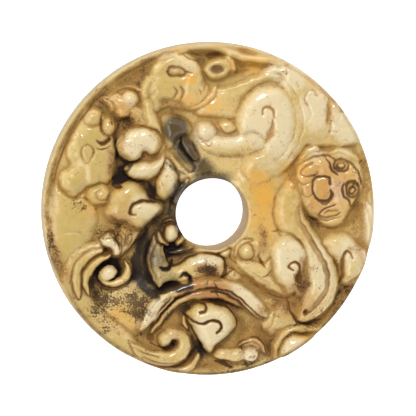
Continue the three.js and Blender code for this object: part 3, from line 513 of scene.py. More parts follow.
def beast_head(f):
    """The beast's head, seen from above."""
    f.swell(0.6, 0.34, [(51, 22), (52, 28), (56, 33.6), (60, 37), (64.4, 37), (68, 35), (74, 36.6), (80, 36),
                        (86, 32.4), (90, 26), (92, 18), (91, 11), (88, 5), (84, 0), (82, -5), (78, -9.4), (72, -11),
                        (66, -9.4), (60.6, -4.4), (57, 1), (53.6, 9), (51.4, 16)], edge=8, line=0.6)
    f.mound(0.62, 0.5, 73, 41.4, 18, 3.4, 0, gap=0, line=0, full=4)
    f.ridge(0.66, 0.4, [(53.6, 30.6, 1), (57.4, 34.6, 2), (62, 37, 2), (64.6, 35.6, 1)], gap=0.8, line=0.6)
    f.ridge(0.64, 0.4, [(70.6, 33.6, 0.8), (76, 35.6, 1.8), (82, 34, 1.8), (88, 29.6, 1)], gap=0.8, line=0.6)
    f.groove(0.26, [(52.6, 26.6, 0.6), (58, 30, 1), (64, 32.2, 1), (70, 32.6, 1), (73.4, 30.6, 1), (76, 29, 0.8)])
    f.ridge(0.74, 0.4, [(66, 29, 3), (70, 21, 4.4), (76, 16, 6), (78, 8, 5), (79, 1, 4)], gap=0, line=0)
    f.groove(0.2, [(68.6, 31.4, 0.6), (71, 27.4, 1), (73, 23, 1), (76.4, 20.8, 0.6)])
    f.mound(0.52, 0.36, 78.2, 26.4, 4.4, 3.8, -10, gap=0.6, line=1.0)
    f.mound(0.76, 0.3, 78, 26.5, 2.3, 2.1, 0, gap=0.9, line=1.0)
    f.groove(0.24, [(74, 29.4, 0.5), (78, 30.4, 0.9), (83, 28.6, 1.1), (85.6, 26.4, 0.9)])
    f.groove(0.24, [(83, 28.6, 0.8), (87, 25, 1.2), (89.6, 20, 1.2), (91, 14.6, 0.8)])
    f.mound(0.52, 0.36, 85, 11.6, 4, 4.6, 0, gap=0.6, line=1.0)
    f.mound(0.76, 0.3, 85, 11.5, 2.1, 2.2, 0, gap=0.9, line=1.0)
    f.groove(0.24, [(81, 14.6, 0.7), (84, 17, 1), (87.6, 16, 1), (89.4, 12, 0.9), (88, 6, 0.8), (85.6, 2.6, 0.5)])
    f.groove(0.24, [(80, 15.6, 0.9), (78.4, 12, 1), (79.6, 8, 1), (82.6, 5, 1), (84.4, 1.6, 0.7)])
    f.groove(0.2, [(54.4, 20.6, 0.6), (57, 20, 0.8), (61.6, 20.8, 0.7), (64.6, 23, 0.4)])
    f.groove(0.24, [(54.4, 20.6, 0.6), (54.4, 23.6, 0.9), (57.4, 26.8, 0.9), (61, 28.6, 1)])
    f.groove(0.18, [(51.4, 25, 0.4), (50.6, 21, 0.7), (52.6, 17, 0.8), (56, 15.4, 0.8), (59.8, 17, 0.6)], 0.8)
    f.groove(0.28, [(71.6, 15.4, 0.8), (70.6, 19, 1), (66, 20.4, 1), (61.6, 18.4, 1), (61, 13, 0.9), (62.6, 8, 1),
                    (66, 5.2, 1.1), (70.4, 6, 1.1), (73, 9, 1.2), (71.6, 12.2, 0.7)])
    f.groove(0.16, [(64.6, 4.6, 0.4), (68.6, 3.4, 0.7), (73, 7, 0.4)], 0.8)
    f.groove(0.16, [(54, 15, 0.4), (54.8, 10, 0.8), (57, 8, 0.6), (61, 9.6, 0.5)], 0.8)
    f.groove(0.2, [(74.6, 3, 0.6), (70, 1.2, 0.8), (66, -0.8, 0.8), (65, -3.6, 0.8), (69.6, -4.4, 0.8),
                   (74.6, -3.2, 0.8), (78, -1.2, 0.5)], 0.9)
    f.groove(0.16, [(76.4, -0.2, 0.4), (71, -0.8, 0.7), (68, -2.4, 0.5)], 0.8)
    f.groove(0.22, [(62.4, -1.6, 0.5), (65.6, -5.6, 0.9), (71.6, -6, 0.9), (78, -4, 0.5)], 0.8)
    f.groove(0.2, [(66.4, -9, 0.6), (70.6, -10.8, 0.9), (78, -10.6, 0.5)], 0.8)
    f.groove(0.5, [(57.6, -1.4, 0.7), (61.4, -5.4, 1.6), (66.4, -8.8, 1)])


def great_dragon(f):
    """The great dragon at the top: mane, haunch, limb, head and crest."""
    f.swell(0.7, 0.5, [(66, 46), (76, 42.4), (84, 41), (90.6, 41.6), (88, 51), (82, 60), (76, 65), (70, 62)],
            line=0.2, edge=8, gap=1)
    f.swell(0.8, 0.45, [(27, 79), (33, 84.6), (40, 87.4), (47, 87.6), (55, 83.6), (63, 77), (69, 69.6), (70.6, 62),
                       (70.6, 55), (72, 48), (67, 42.4), (60, 40.4), (54, 35), (46, 25), (40, 20), (34, 22), (40, 40),
                       (44, 70), (34, 78)], line=0.35, edge=9, gap=1, full=3)
    f.mound(0.82, 0.6, 80.6, 57, 4.6, 3, 40, gap=0, line=0)
    f.groove(0.12, [(76, 62, 0.4), (77.6, 57, 0.8), (75, 52, 0.5)], 0.3)
    f.groove(0.12, [(84, 50, 0.4), (79, 49, 0.8), (75.4, 51.6, 0.5)], 0.2)
    f.swell(0.62, 0.2, [(4, 73), (10, 73.8), (18, 76), (26, 79), (34, 81.4), (42, 80.6), (41, 76.6), (33, 76),
                        (26, 73), (20, 67), (16, 60), (14.6, 55.4), (6, 55.6), (-3, 56.6), (-9, 58.4), (-4, 63.6),
                        (1.6, 68.4)], line=0.5, edge=7, gap=1.2)
    f.ridge(0.74, 0.5, [(4, 72.4, 0.6), (11, 73, 1), (19, 75.4, 1.3), (27, 78.6, 1.4), (35, 80.6, 1.2),
                        (41, 79.6, 0.6)],
            gap=0, line=0)
    f.groove(0.16, [(43, 78, 0.5), (48.6, 72.6, 0.8), (53, 63, 0.9), (54.8, 53, 0.9), (53, 43.6, 0.9), (48, 34, 0.9),
                    (42, 26.6, 0.9), (36, 21.6, 0.6)], 0.5)
    f.groove(0.14, [(44.8, 84.4, 0.5), (44.8, 80.4, 0.8), (42.6, 77, 0.5)], 0.45)
    f.swell(1.0, 0.62, [(15, 54.6), (17, 61), (21.6, 67.6), (28, 72.6), (35, 74.6), (41, 73.6), (46.4, 68),
                        (49.6, 60),
                       (50.6, 52), (49, 44.6), (45, 37), (39.6, 30.6), (33, 25.6), (24, 20), (20, 25), (19.4, 36),
                       (16.4, 46)], line=0.4, edge=13, gap=0.9, full=3)
    f.mound(0.86, 0.5, 29, 26, 11, 10, 20, gap=0, line=0, full=4)
    f.groove(0.14, [(15.6, 60, 0.4), (18.6, 66, 0.8), (23.4, 71.4, 0.8), (29, 75.4, 0.8), (35.6, 76.8, 0.8),
                    (42, 75.6, 0.6)], 0.55)
    f.groove(0.22, [(30, 57.6, 0.8), (30.4, 60.6, 1), (33, 62.6, 1), (36, 61, 1), (37.4, 56, 0.8)], 0.9)
    f.groove(0.3, [(36.6, 54.4, 0.6), (36, 49.6, 2.1), (34.6, 45, 2.3), (31.6, 40, 0.8)], 0.6)
    f.ridge(0.9, 0.4, [(39.4, 48, 1), (38.4, 42, 2), (34, 35.6, 2.4)], gap=0, line=0)
    f.ridge(0.74, 0.5, [(25, 40.4, 7), (16, 39, 5.6), (8, 38.8, 5.2), (0, 40.4, 5.6), (-4, 44, 5)], line=0.2, gap=1)
    f.groove(0.14, [(0, 34.6, 0.5), (8, 32.4, 1), (16, 32.4, 1.2), (24, 34, 1.2), (31, 38, 0.8)], 0.3)
    f.mound(0.56, 0.3, 9.4, 50, 6, 3.8, -10, gap=1, line=0.5)
    f.groove(0.14, [(4.6, 53.4, 0.7), (6.4, 48.6, 0.9), (10.6, 46.6, 0.9), (15, 48.4, 0.6)], 0.7)
    f.mound(0.84, 0.3, -3.4, 47.4, 6.4, 5.8, 0, gap=1, line=0.3)
    f.groove(0.14, [(-7.8, 51.4, 0.5), (-8.6, 46.6, 0.8), (-5.6, 42.2, 0.5)], 0.4)
    f.groove(0.1, [(-4, 40.6, 0.3), (-1.6, 39.6, 0.8), (0.6, 41, 0.4)], 0.8)
    f.swell(0.84, 0.08, [(-35.4, 83.4), (-33.6, 88), (-28.6, 92.6), (-22, 95.6), (-16, 95), (-10, 91), (-6.4, 86),
                         (-4, 79), (-1, 73), (-1, 67), (-5.6, 62.6), (-12, 60.6), (-20, 61.4), (-27, 62.4),
                         (-31, 59.6), (-35, 56.6), (-38.6, 60.6), (-41.4, 67), (-41, 74.6), (-38, 79.4)],
            line=0.5, edge=10, full=2.8, gap=1.2)
    f.hollow(0.34, -24, 64.8, 9, 3, -10, line=0.2)
    f.ridge(0.94, 0.6, [(-32, 84, 3), (-25, 89, 5), (-16, 88, 6), (-11, 81, 6), (-13, 72, 5)], gap=0, line=0)
    f.ridge(0.72, 0.3, [(-37.4, 78.6, 2), (-39.4, 72, 2.4), (-39, 66, 2.4), (-36.4, 59.6, 2.2), (-33.4, 53, 2.2)],
            line=0.35, gap=0.8)
    f.groove(0.2, [(-33.4, 72, 0.5), (-36.4, 69.4, 0.9), (-35.8, 65, 0.9), (-33, 60, 0.9), (-30, 54, 0.8),
                   (-28, 47, 0.6)], 0.6)
    f.groove(0.12, [(-31, 68, 0.4), (-31, 64, 0.7), (-29, 61, 0.4)], 0.4)
    f.groove(0.24, [(-26.4, 83.8, 0.8), (-24.6, 86.2, 1.2), (-21.4, 86.8, 1.2), (-18, 85.4, 1.2), (-15, 83.4, 1),
                    (-11.4, 83, 0.6)], 0.9)
    f.groove(0.24, [(-26.4, 83.8, 0.8), (-25, 81.6, 1.2), (-21.6, 80.8, 1.2), (-18, 81.4, 1.2),
                    (-15.4, 82.8, 1)], 0.9)
    f.mound(0.98, 0.7, -21.6, 83.8, 3, 1.8, -3, gap=0.4, line=0.5)
    f.groove(0.18, [(-22.6, 74.6, 0.8), (-20.8, 71.6, 1.3), (-23, 67.6, 0.8)], 0.8)
    f.groove(0.18, [(-18.4, 74.6, 0.8), (-16.8, 71, 1.3), (-19, 66.4, 0.8)], 0.8)
    f.groove(0.14, [(-7.6, 73, 0.4), (-6.6, 71.6, 0.8), (-6, 69.6, 0.5)], 0.9)
    f.ridge(0.7, 0.3, [(-11, 61.4, 1.2), (-5.6, 63.6, 1.8), (-0.6, 68, 2), (2.8, 74, 1.6)], line=0.5, gap=0.8)
    f.ridge(0.86, 0.3, [(-19, 94.4, 1), (-12, 97, 1.6), (-3, 97.8, 2), (5, 96.6, 2), (12, 93.6, 2.2), (19, 91, 2),
                         (27, 90, 2), (35, 89.6, 2.2), (41, 87, 1.2)], line=0.6, gap=1.4)
    f.groove(0.16, [(-18, 94.6, 0.5), (-13, 91, 0.9), (-6.4, 88.6, 0.6)], 0.9)
    f.groove(0.16, [(-14.4, 97.2, 0.5), (-9.6, 94, 0.9), (-5, 92, 0.6)], 0.9)
    f.hollow(0.2, 2.6, 92.4, 8.6, 3.6, 0, line=0.75)
    f.mound(0.84, 0.25, 4, 85, 8.6, 6.6, 8, line=0.5, gap=1)
    f.hollow(0.36, 3.8, 84.6, 5.8, 3.4, 4, line=0.6)
    f.ridge(0.84, 0.4, [(9, 91.6, 1), (13, 88, 1.6), (13.6, 82.6, 1.2)], gap=0.5, line=0.3)
    f.hollow(0.1, 18.6, 83, 7.4, 1.8, 10, line=0.8)
    f.hollow(0.3, 24, 86.4, 9, 2.2, -2, line=0)
    f.hollow(0.3, 22, 95, 8.6, 2.6, -16, line=0.6)
    f.groove(0.16, [(-7, 88, 0.5), (-6, 83, 0.9), (-3.6, 77, 0.9), (-5, 71, 0.5)], 0.6)
    f.groove(0.12, [(27, 85, 0.4), (33, 86, 0.8), (35, 89.6, 0.4)], 0.4)
    f.groove(0.18, [(63.4, 68, 0.6), (61.4, 71.6, 0.9), (57.6, 71, 0.9), (55.6, 66.6, 0.9), (58, 61.6, 0.9),
                    (59.4, 57, 0.8), (57, 52.6, 0.5)], 0.5)
    f.groove(0.2, [(70, 63, 0.8), (70.6, 58, 1.4), (69.4, 50.6, 0.7)], 0.6)


def rim(f):
    """A bead runs along the rim where the ground is low, and the figures bend down to the rim."""
    r = np.hypot(f.u, f.v)
    bead = 0.2 * np.clip(1 - ((r - 98) / 2.4) ** 2, 0, 1) ** 0.5
    f.level = np.maximum(f.level, bead)
    turn = np.degrees(np.arctan2(f.v, f.u)) % 360
    shown = smooth((turn - 104) / 6) * smooth((176 - turn) / 10)
    channel = np.clip(1 - ((r - 95.2) / 0.9) ** 2, 0, 1) * shown
    f.level -= 0.1 * channel
    f.cut = np.maximum(f.cut, channel * 0.9)
    inward = np.clip((100.5 - r) / 8, 0, 1)
    f.level = np.minimum(f.level, 0.12 + 0.95 * np.sqrt(1 - (1 - inward) ** 2))


def soften(f):
    """The upper right is worn soft and shallow; the lower left stays crisp and deep."""
    worn = smooth((f.u * 0.6 + f.v * 0.8 + 20) / 70)
    shallow = blur(f.level, 1.5)
    f.level = f.level + (shallow - f.level) * (0.15 + 0.4 * worn)
    f.level = blur(np.clip(f.level, -0.12, 1.0), 0.3)
    f.cut = blur(f.cut, 0.22)


# Where each colour lies. A patch has its strength, centre, half widths and turn; a streak its strength and stations.

PATCHES = {
    "ink": (
        (0.95, -49, 25, 8, 6, 0), (1.0, -54, 20, 7, 4, -10), (0.6, -38, 17, 8, 3, -10), (1.0, -56, 38, 3, 9, 0),
        (0.8, -35, 12, 6, 6, 0), (0.75, -32, -4, 8, 13, 35), (0.85, -41, -25, 7, 16, -10), (1.0, -23, -23, 11, 6, 0),
        (0.5, -24, -10, 9, 9, 0), (1.0, -42, -44, 8, 14, 0), (0.9, -62, -35, 11, 12, 0), (0.6, -66, -49, 6, 3, 0),
        (0.3, -46, -58, 13, 10, 0), (0.8, -30, -44, 12, 7, 0), (0.9, -22, 46, 6, 12, 15), (0.95, -14, 36, 6, 10, 35),
        (0.7, -6, 25, 8, 5, -20), (0.7, -22, -79, 5, 4, 0), (0.2, -36, -72, 8, 4, 40), (0.8, -6, -84, 8, 9, 0),
        (0.6, 4, -54, 12, 4, -12), (0.75, -14, -60, 6, 7, 0), (0.6, 0, -38, 12, 7, 0), (0.55, -50, 55, 10, 8, 0),
        (0.5, -40, 80, 6, 12, -15), (0.5, -62, 68, 12, 9, -30), (0.6, 60, -4, 6, 8, 0), (0.55, 86, 14, 8, 20, 0),
        (0.6, 78, -34, 6, 12, 0), (0.55, 54, -44, 7, 10, 0), (0.5, 84, -48, 12, 6, 30), (0.55, 52, -66, 12, 6, 0),
        (0.5, 40, -84, 7, 7, 0), (0.4, 6, -91.6, 8, 3, 10), (0.3, 0, 90, 10, 6, 0), (0.25, 16, 83, 8, 3, 0),
        (0.2, -60, -20, 10, 8, 0)),
    "amber": (
        (1.0, 31, 12, 8, 16, 15), (0.45, 26, 24, 9, 6, 0), (0.6, 33, -2, 11, 18, 0), (0.4, 46, 8, 10, 14, 0),
        (1.0, -12.6, 79, 4, 3, 0), (0.4, 70, 14, 19, 24, 0), (1.0, 50, 24, 9, 14, 0), (0.9, 35, 50, 4, 8, 0),
        (0.2, 10, 97, 22, 3, -10), (0.5, 64, 72, 14, 4, -50), (0.5, -56, 58, 12, 10, 0), (0.5, -70, 4, 10, 10, 0),
        (0.4, -6, 66, 14, 7, 0), (0.5, 34, 48, 4, 8, 0), (0.3, -54, -60, 12, 7, 0), (0.5, -45, -68, 8, 4, 0),
        (0.2, 22, 66, 14, 8, 20), (0.5, 40, 16, 14, 8, 30), (0.4, 60, -74, 14, 8, 30), (0.5, -58, 16, 8, 6, 0),
        (0.9, 22, 87, 14, 4, -4)),
    "russet": (
        (0.9, -6, -46, 18, 7, 0), (0.9, 8, -53, 14, 4, -14), (0.35, -30, -60, 12, 8, 50), (0.5, 68, 14, 17, 22, 0),
        (0.5, -60, 68, 16, 9, -30), (0.5, -24, -66, 12, 12, 0), (0.5, 30, -76, 14, 10, 0), (0.5, -52, 2, 8, 10, 0),
        (0.5, -60, 27, 4, 8, 0), (0.6, 50, -54, 12, 14, 0), (0.5, 0, -34, 9, 6, 0), (0.4, -74, 62, 14, 8, -40)),
    # Pale: the stone's own pale parts, and some painted highlights, such as the patches at (45, 80) and (-16, 88).
    "pale_and_highlight": (
        (1.0, -43, 41, 10, 8, 0), (0.9, 34, 54, 15, 19, 0), (0.4, -16, 88, 9, 6, 0), (0.8, 0, -70, 12, 12, 0),
        (0.8, 48, -30, 10, 14, 0), (0.7, 84, -24, 10, 8, 0), (0.7, -22, 18, 6, 10, 0), (0.7, -40, 25, 8, 5, 10),
        (0.8, 62, 60, 10, 14, 0), (0.9, 82, 52, 12, 12, 0), (0.45, 34, 29, 10, 8, 0), (0.7, 45, 36, 8, 8, 45),
        (0.6, -24, -13, 5, 6, 0), (0.8, 25, -86, 8, 6, 0), (0.4, -26, -77, 6, 6, 0), (0.7, -60, -36, 5, 5, 0),
        (0.7, -60, -20, 8, 5, -20), (0.9, 45, 80, 13, 6, -24), (0.7, -40, 4, 10, 8, 0), (0.7, -28, 26, 6, 8, 0),
        (0.9, -2, -29.4, 11, 4, 0), (0.4, 84, -33, 8, 9, 0), (0.7, 95, -8, 4, 14, 0), (0.8, -4, 46, 7, 6, 0),
        (0.8, 9, 42.6, 11, 4.6, 0), (0.9, 22, -53, 14, 5, -42), (0.8, -36, -60, 5, 12, -38),
        (0.6, 66, -36, 8, 20, 10), (0.5, -34, -22, 4, 12, 0), (0.5, -4, -30, 10, 5, 0), (0.7, 63, 34, 6, 4, 0),
        (0.6, 80, 34, 7, 3, 0), (0.6, -48, 67, 5, 4, 0), (0.5, 76, 12, 6, 8, 0), (0.6, 50, -82, 8, 6, 0)),
    "olive": (
        (1.0, -84, 0, 16, 34, 0), (0.9, -72, 34, 16, 24, 10), (0.8, -76, -48, 14, 20, -30),
        (0.7, -84, -30, 10, 20, 0), (0.7, -34, 8, 8, 8, 0), (0.7, -32, -28, 7, 14, 0), (0.2, 10, 38, 22, 7, 0),
        (0.7, -50, -84, 20, 8, -20), (0.5, 44, -62, 10, 8, 0), (0.5, -20, 50, 9, 12, 0), (0.9, -28, 76, 14, 14, 0),
        (0.8, -38, 0, 8, 8, 0), (0.7, -48, 80, 16, 6, 38)),
    "smoke": (
        (1.0, -21, 49, 8, 9, 15), (1.0, -15, 37, 7, 10, 30), (0.8, -6, 27, 9, 6, -25), (0.5, 6, 22, 10, 3, -10),
        (0.4, -26, -38, 8, 5, 0), (0.5, -28, -30, 5, 6, 0), (0.5, -33, -10, 7, 8, 0), (0.7, -26, 1, 5, 7, 0),
        (0.7, -22, 12, 4, 9, -30), (0.7, -40, -22, 5, 16, 0), (0.6, -38, -44, 7, 8, 0), (0.5, -14, -24, 8, 3, 0),
        (0.6, -34, -25, 4, 12, 0)),
    "blot": (
        (1.0, -66, -53, 6, 6, 0), (0.7, -57, -53, 7, 5, 0), (1.0, -45, -56, 8, 9, 20), (0.3, -62, -71, 6, 3, -30),
        (0.3, -42, -72, 6, 4, 30), (0.6, -96, -20, 4, 8, 0), (0.6, -64, -64, 8, 5, -30), (0.5, -68, 72, 14, 6, -40),
        (0.4, -38, 82, 3, 5, -20), (0.5, 80, -52, 10, 6, 30), (0.4, 54, -44, 6, 9, 0), (1.0, -1, -34, 6, 4, -30),
        (0.5, 58, -68, 14, 6, 20), (0.7, -68, -60, 6, 5, 0), (0.5, 20, -93, 14, 4, 14), (0.6, -60, -12, 14, 5, 0),
        (0.5, -78, 6, 6, 6, 0), (0.6, -54, 54, 8, 6, 0), (0.5, 88, 20, 6, 14, 0)),
    "stain": (
        (0.85, 72, 14, 16, 22, 0), (0.75, -20, 84, 12, 6, 0), (0.8, 4, 88, 14, 10, 0), (0.6, 22, 94, 14, 5, -16),
        (0.9, -46, 68, 14, 10, 0), (0.9, -64, 42, 10, 8, 0), (0.7, -30, 70, 8, 16, 0), (0.8, 62, -28, 12, 28, 20),
        (0.6, 6, 49, 6, 5, 0)),
}
STREAKS = {
    # Smudge streaks are brown stain on the surface, but some are painted shade below the lower edge of a form: under
    # the jaw from (-31, 67) to (-14, 62), under the limb from (-2, 36) to (30, 37), and along the limb's lower edge
    # from (10, -31) to (52, -57).
    "smudge_and_shade": (
        (1.0, [(54.6, -28, 1.6), (56.6, -36, 2.6), (56.6, -45, 3.4), (53, -54, 3), (50.6, -62, 2)]),
        (1.0, [(10, -31, 1.4), (20, -39, 2), (31, -47.6, 3), (42, -53.6, 3.6), (52, -57, 3)]),
        (0.8, [(30, -10, 2.4), (31, -19, 3), (28, -27, 2), (24, -31, 1.4)]),
        (0.5, [(36, -14, 1), (33.6, -22, 1.6), (34, -31, 1)]),
        (0.8, [(-31, 66.6, 1.6), (-24, 63.6, 2.6), (-14, 61.6, 1.6)]),
        (1.0, [(88, -40, 1.6), (82, -49, 3), (76, -58, 3), (66, -67, 2.6), (56, -69.6, 1.6)]),
        (0.35, [(-2, 36, 1.6), (8, 34, 2), (20, 34, 2.4), (30, 37, 1.6)]),
        (0.7, [(50, 36, 1.6), (51, 28, 2), (49, 20, 2), (52, 12, 1)]),
        (0.7, [(58, 2, 1.6), (60, -4, 3), (66, -10, 3), (70, -14, 1.6)]),
        (0.6, [(86, 0, 2), (86, -8, 3), (88, -16, 2)]),
        (0.9, [(91, 34, 1.6), (94, 22, 2), (94.6, 8, 1.6)]),
        (1.0, [(16, -63, 2), (20, -70, 4), (16, -77, 3)]),
        (1.0, [(26, -68, 3), (33, -76, 4.4), (37, -86, 3)]),
        (1.3, [(-8, -33, 2), (-2, -36, 4), (2, -38, 3.4), (5, -42, 1.6)]),
        (1.1, [(51.6, -37, 2), (52.6, -42, 3), (54, -48, 2)]),
        (0.7, [(-50, 60, 1.6), (-45, 57, 2.6), (-40, 52, 1.8)]),
        (0.6, [(-44, 84, 1), (-40, 82, 1.6), (-38, 77, 1)]),
        (0.8, [(-54, 74, 0.8), (-47, 74, 1.2), (-42, 70, 1)]),
        (0.9, [(-56, 54, 1.6), (-50, 53, 2.6), (-46, 56, 1.6)]),
        (0.9, [(-97, 0, 1.6), (-96, -14, 3), (-93, -26, 4.4), (-88, -37, 4)]),
        (0.4, [(-72, -58, 4), (-64, -66, 4), (-54, -74, 3)]),
        (0.3, [(14, 66, 1.4), (16, 58, 1.4), (12, 52, 2)]),
        (0.6, [(70, 66, 1), (71, 58, 2.4), (70, 50, 1.6)]),
        (0.35, [(56, 42, 1), (64, 40, 1), (74, 39, 1)]),
        (0.8, [(-90, 40, 1.2), (-94, 24, 1.6), (-95, 8, 1)]),
        (1.0, [(-61, -2, 2), (-56, -5, 4), (-49, -9, 4), (-42, -10, 2)]),
        (0.9, [(-60.4, 39, 1), (-59.4, 32, 2.4), (-61, 24, 2.2)]),
        (0.6, [(-88, -26, 2), (-92, -34, 2), (-88, -42, 1)]),
        (0.45, [(35.6, 53, 0.8), (35.6, 48, 2), (33, 42, 1.6)]),
        (0.9, [(66, -13, 2), (74, -12.6, 1.6), (84, -8, 3), (89, 2, 2.4)]),
        (0.9, [(-9, -92, 1.4), (-3, -92, 3), (5, -93, 3)]),
        (0.8, [(28, -60, 2), (38, -58, 3), (46, -60, 3)]),
        (0.7, [(-52, 45, 2), (-54, 38, 1.4), (-50, 33, 1)]),
        (0.7, [(84, -22, 2), (90, -27, 2.4), (92, -33, 1.6)]),
        (0.8, [(88, -17, 1.6), (93, -22, 1.4), (96, -30, 1.2)]),
        (0.9, [(92.4, 6, 0.8), (91.4, -2, 1), (92, -12, 1)]),
        (1.0, [(11, 81, 0.6), (16, 83, 1.4), (23, 83.6, 0.8)]),
        (0.5, [(36, 91, 1.4), (44, 88, 1.6), (50, 84, 1)]),
        (0.8, [(58, 80, 1), (66, 74, 2.2), (74, 66, 2), (80, 58, 1)]),
        (1.0, [(-70, 66, 2), (-58, 74, 3), (-47, 80, 4), (-38, 86, 3)]),
        (0.7, [(-48, 86, 1), (-34, 93, 1.4), (-20, 97, 1.4)])),
    "soot": (
        (1.0, [(-46, -28, 1.6), (-43, -38, 3), (-39, -46, 3), (-33, -50, 2)]),
        (1.0, [(-13, -21.6, 0.6), (-18, -23.6, 1.6), (-26, -26, 2)]),
        (0.9, [(-25, -2, 1.2), (-22.4, 8, 1.4), (-16, 17, 1.4)]),
        (0.6, [(-14, 19, 1), (-4, 22.6, 1.2), (6, 22.4, 1), (12, 19.6, 0.6)]),
        (0.7, [(-72, -38, 1.4), (-71, -45, 2.4), (-67, -50, 2.4)]),
        (0.8, [(-56, 44, 0.8), (-57, 36, 1), (-56.6, 29, 1.2)]),
        (0.9, [(-52, 30, 1.2), (-47, 29.6, 1), (-51, 24, 1.2)]),
        (0.7, [(-58, 20, 1.6), (-52, 20, 1.6)]),
        (0.8, [(-20, -20, 1.4), (-30, -20, 1), (-29, -30, 1)]),
        (1.0, [(-31, -46.6, 1), (-26, -43.6, 1.4), (-21, -43, 1.4), (-17, -44.6, 1.4), (-13, -43, 1.4),
             (-12.8, -39, 1.4), (-16, -37, 1.2), (-18.6, -39, 0.7)]),
        (0.7, [(-10, -47.4, 0.4), (-20, -51.6, 0.8), (-26, -57, 1), (-31, -63.6, 0.8), (-38, -72, 0.8),
             (-45, -74.4, 1)]),
        (0.7, [(-31, -51, 0.8), (-35, -56, 1), (-39, -61, 0.6)]),
        (0.4, [(-8, -33.6, 1.4), (-2, -36, 2.6), (3, -38, 2)]),
        (0.9, [(-30, -54, 0.5), (-26, -51.4, 1), (-22, -50.4, 0.6)]),
        (1.0, [(-31, -33, 0.8), (-28.4, -34.4, 1.2), (-25, -33.4, 1.2), (-22.8, -29.6, 1)]),
        (1.0, [(-33, -49, 1), (-27, -46.6, 1.8), (-21, -46, 2), (-15, -46.4, 1.4), (-11, -44.6, 0.8)]),
        (0.6, [(80, -48, 1), (77, -53, 1.4), (72, -60, 1)]),
        (1.0, [(-58, 17, 1.2), (-51, 20.4, 1.2), (-43, 18.2, 0.9), (-37, 17.6, 0.9), (-34.6, 12, 1.4), (-33, 7, 1),
             (-27, 5.4, 0.7)]),
        (1.0, [(-56, 34, 1), (-51, 29.6, 1.5), (-46, 30.6, 1), (-41, 31.2, 0.6)]),
        (0.9, [(-38, -11, 1.4), (-42, -20, 2.2), (-44, -28, 3), (-43, -36, 3)]),
        (0.8, [(-18.6, 22, 0.8), (-19, 14, 1.2), (-22.6, 7, 1)]),
        (0.8, [(-22, -58, 0.8), (-26, -63, 1.6), (-30, -68, 1.2)]),
        (0.6, [(-14, -66, 0.8), (-11, -76, 1.2), (-5, -88, 1.6), (-3, -93, 1)]),
        (0.7, [(-30, 40, 0.7), (-27, 30, 1), (-21, 25, 1.2), (-15, 22, 1)]),
        (0.8, [(-64, -32, 0.6), (-70, -37, 1.2), (-70, -44, 1.4)]),
        (0.5, [(60, 0, 0.8), (66, -10.6, 1.6), (76, -11.6, 1.2)]),
        (0.6, [(57, -1, 0.8), (61, -5, 1.4), (66, -9, 0.8)])),
}


def colours(f):
    """Where each colour of the stone and of its stains lies, and where highlights and shade are painted on as colour.
    """
    f.masks["stain"] = smooth((0.95 - (f.u * 0.6 + f.v * 0.8) / 100) / 1.35)
    f.masks["stain"] *= 1 - 0.3 * smooth(1.3 - np.hypot((f.u - 54) / 38, (f.v + 34) / 32))
    f.masks["stain"] *= 1 - 0.45 * smooth(1.3 - np.hypot((f.u + 80) / 20, (f.v - 20) / 36))
    for name, rows in PATCHES.items():
        for strength, *place in rows:
            f.patch(name, strength, *place)
    f.patch("smoke", 0, -23.6, -12, 4, 5)
    f.patch("ink", 0, -23.6, -12.6, 3.4, 4.4)
    for name, rows in STREAKS.items():
        for strength, stations in rows:
            f.streak(name, strength, stations)
    r = np.hypot(f.u, f.v)
    turn = np.degrees(np.arctan2(f.v, f.u)) % 360
    lower_half = smooth((turn - 200) / 20) * smooth((350 - turn) / 20)
    upper_left = smooth((turn - 98) / 10) * smooth((190 - turn) / 20)
    # The rim mask is partly painted shade: the rounded outer edge is darkened all round, and more on the lower half.
    # The band just inside the rim at the upper left is the rim's own tan stain.
    f.masks["rim"] = np.clip(smooth((r - 95.5) / 3.5) * 0.6 * lower_half + smooth((r - 95.6) / 2.2) * 0.5
                             + smooth((r - 92.5) / 2) * smooth((99 - r) / 2) * 0.5 * upper_left, 0, 1)
    out = np.hypot(f.u - HOLE_X / UNIT, f.v - HOLE_Y / UNIT) - HOLE_RADIUS / UNIT
    side = np.degrees(np.arctan2(f.v - HOLE_Y / UNIT, f.u - HOLE_X / UNIT)) % 360
    smoky = smooth((side - 45) / 30) * smooth((235 - side) / 30)
    f.masks["smoke"] = np.maximum(f.masks["smoke"], smooth((3.6 - out) / 2.4) * smoky)
    f.masks["soot"] = np.maximum(f.masks["soot"], smooth((1.2 - out) / 1.2) * (0.2 + 0.6 * smoky))
    cavity = np.clip((blur(f.level, 3.2) - f.level - 0.03) / 0.24, 0, 1)
    low = smooth((0.34 - f.level) / 0.3)
    f.masks["cavity"] = blur(np.clip(cavity * 0.8 + low * 0.45, 0, 1), 0.25)
    f.masks["line"] = f.cut
    f.masks["crease"] = np.clip((blur(f.level, 1.1) - f.level) / 0.06, -1, 1)
    for name in ("ink", "amber", "russet", "pale_and_highlight", "olive", "smoke", "blot", "smudge_and_shade"):
        f.masks[name] = blur(f.masks[name], 1.4)
    f.masks["soot"] = blur(f.masks["soot"], 0.5)


def carve():
    """The whole face, from the ground up."""
    f = Canvas()
    for group in (ground, left_dragon, upper_left_paw, centre_body, fan_tail, great_dragon, centre_left, below_hole,
                  lower_dragon, lower_paw, lower_right, right_dragon, beast_head, rim, soften, colours):
        group(f)
    return f


def sampled(values, x, y):
    """Reads a canvas at places given in millimetres."""
    scale = (CANVAS - 1) / (2 * REACH)
    i = np.clip((x / UNIT + REACH) * scale, 0, CANVAS - 1.001)
    j = np.clip((y / UNIT + REACH) * scale, 0, CANVAS - 1.001)
    i0, j0 = i.astype(int), j.astype(int)
    fi, fj = i - i0, j - j0
    top = values[j0, i0] * (1 - fi) + values[j0, i0 + 1] * fi
    bottom = values[j0 + 1, i0] * (1 - fi) + values[j0 + 1, i0 + 1] * fi
    return top * (1 - fj) + bottom * fj


def sway(waves, x, y):
    """The small wander of a line cut by hand, in millimetres."""
    return sum(size * np.sin(a * x + b * y + start) for size, a, b, start in waves)


# The disc's mesh.

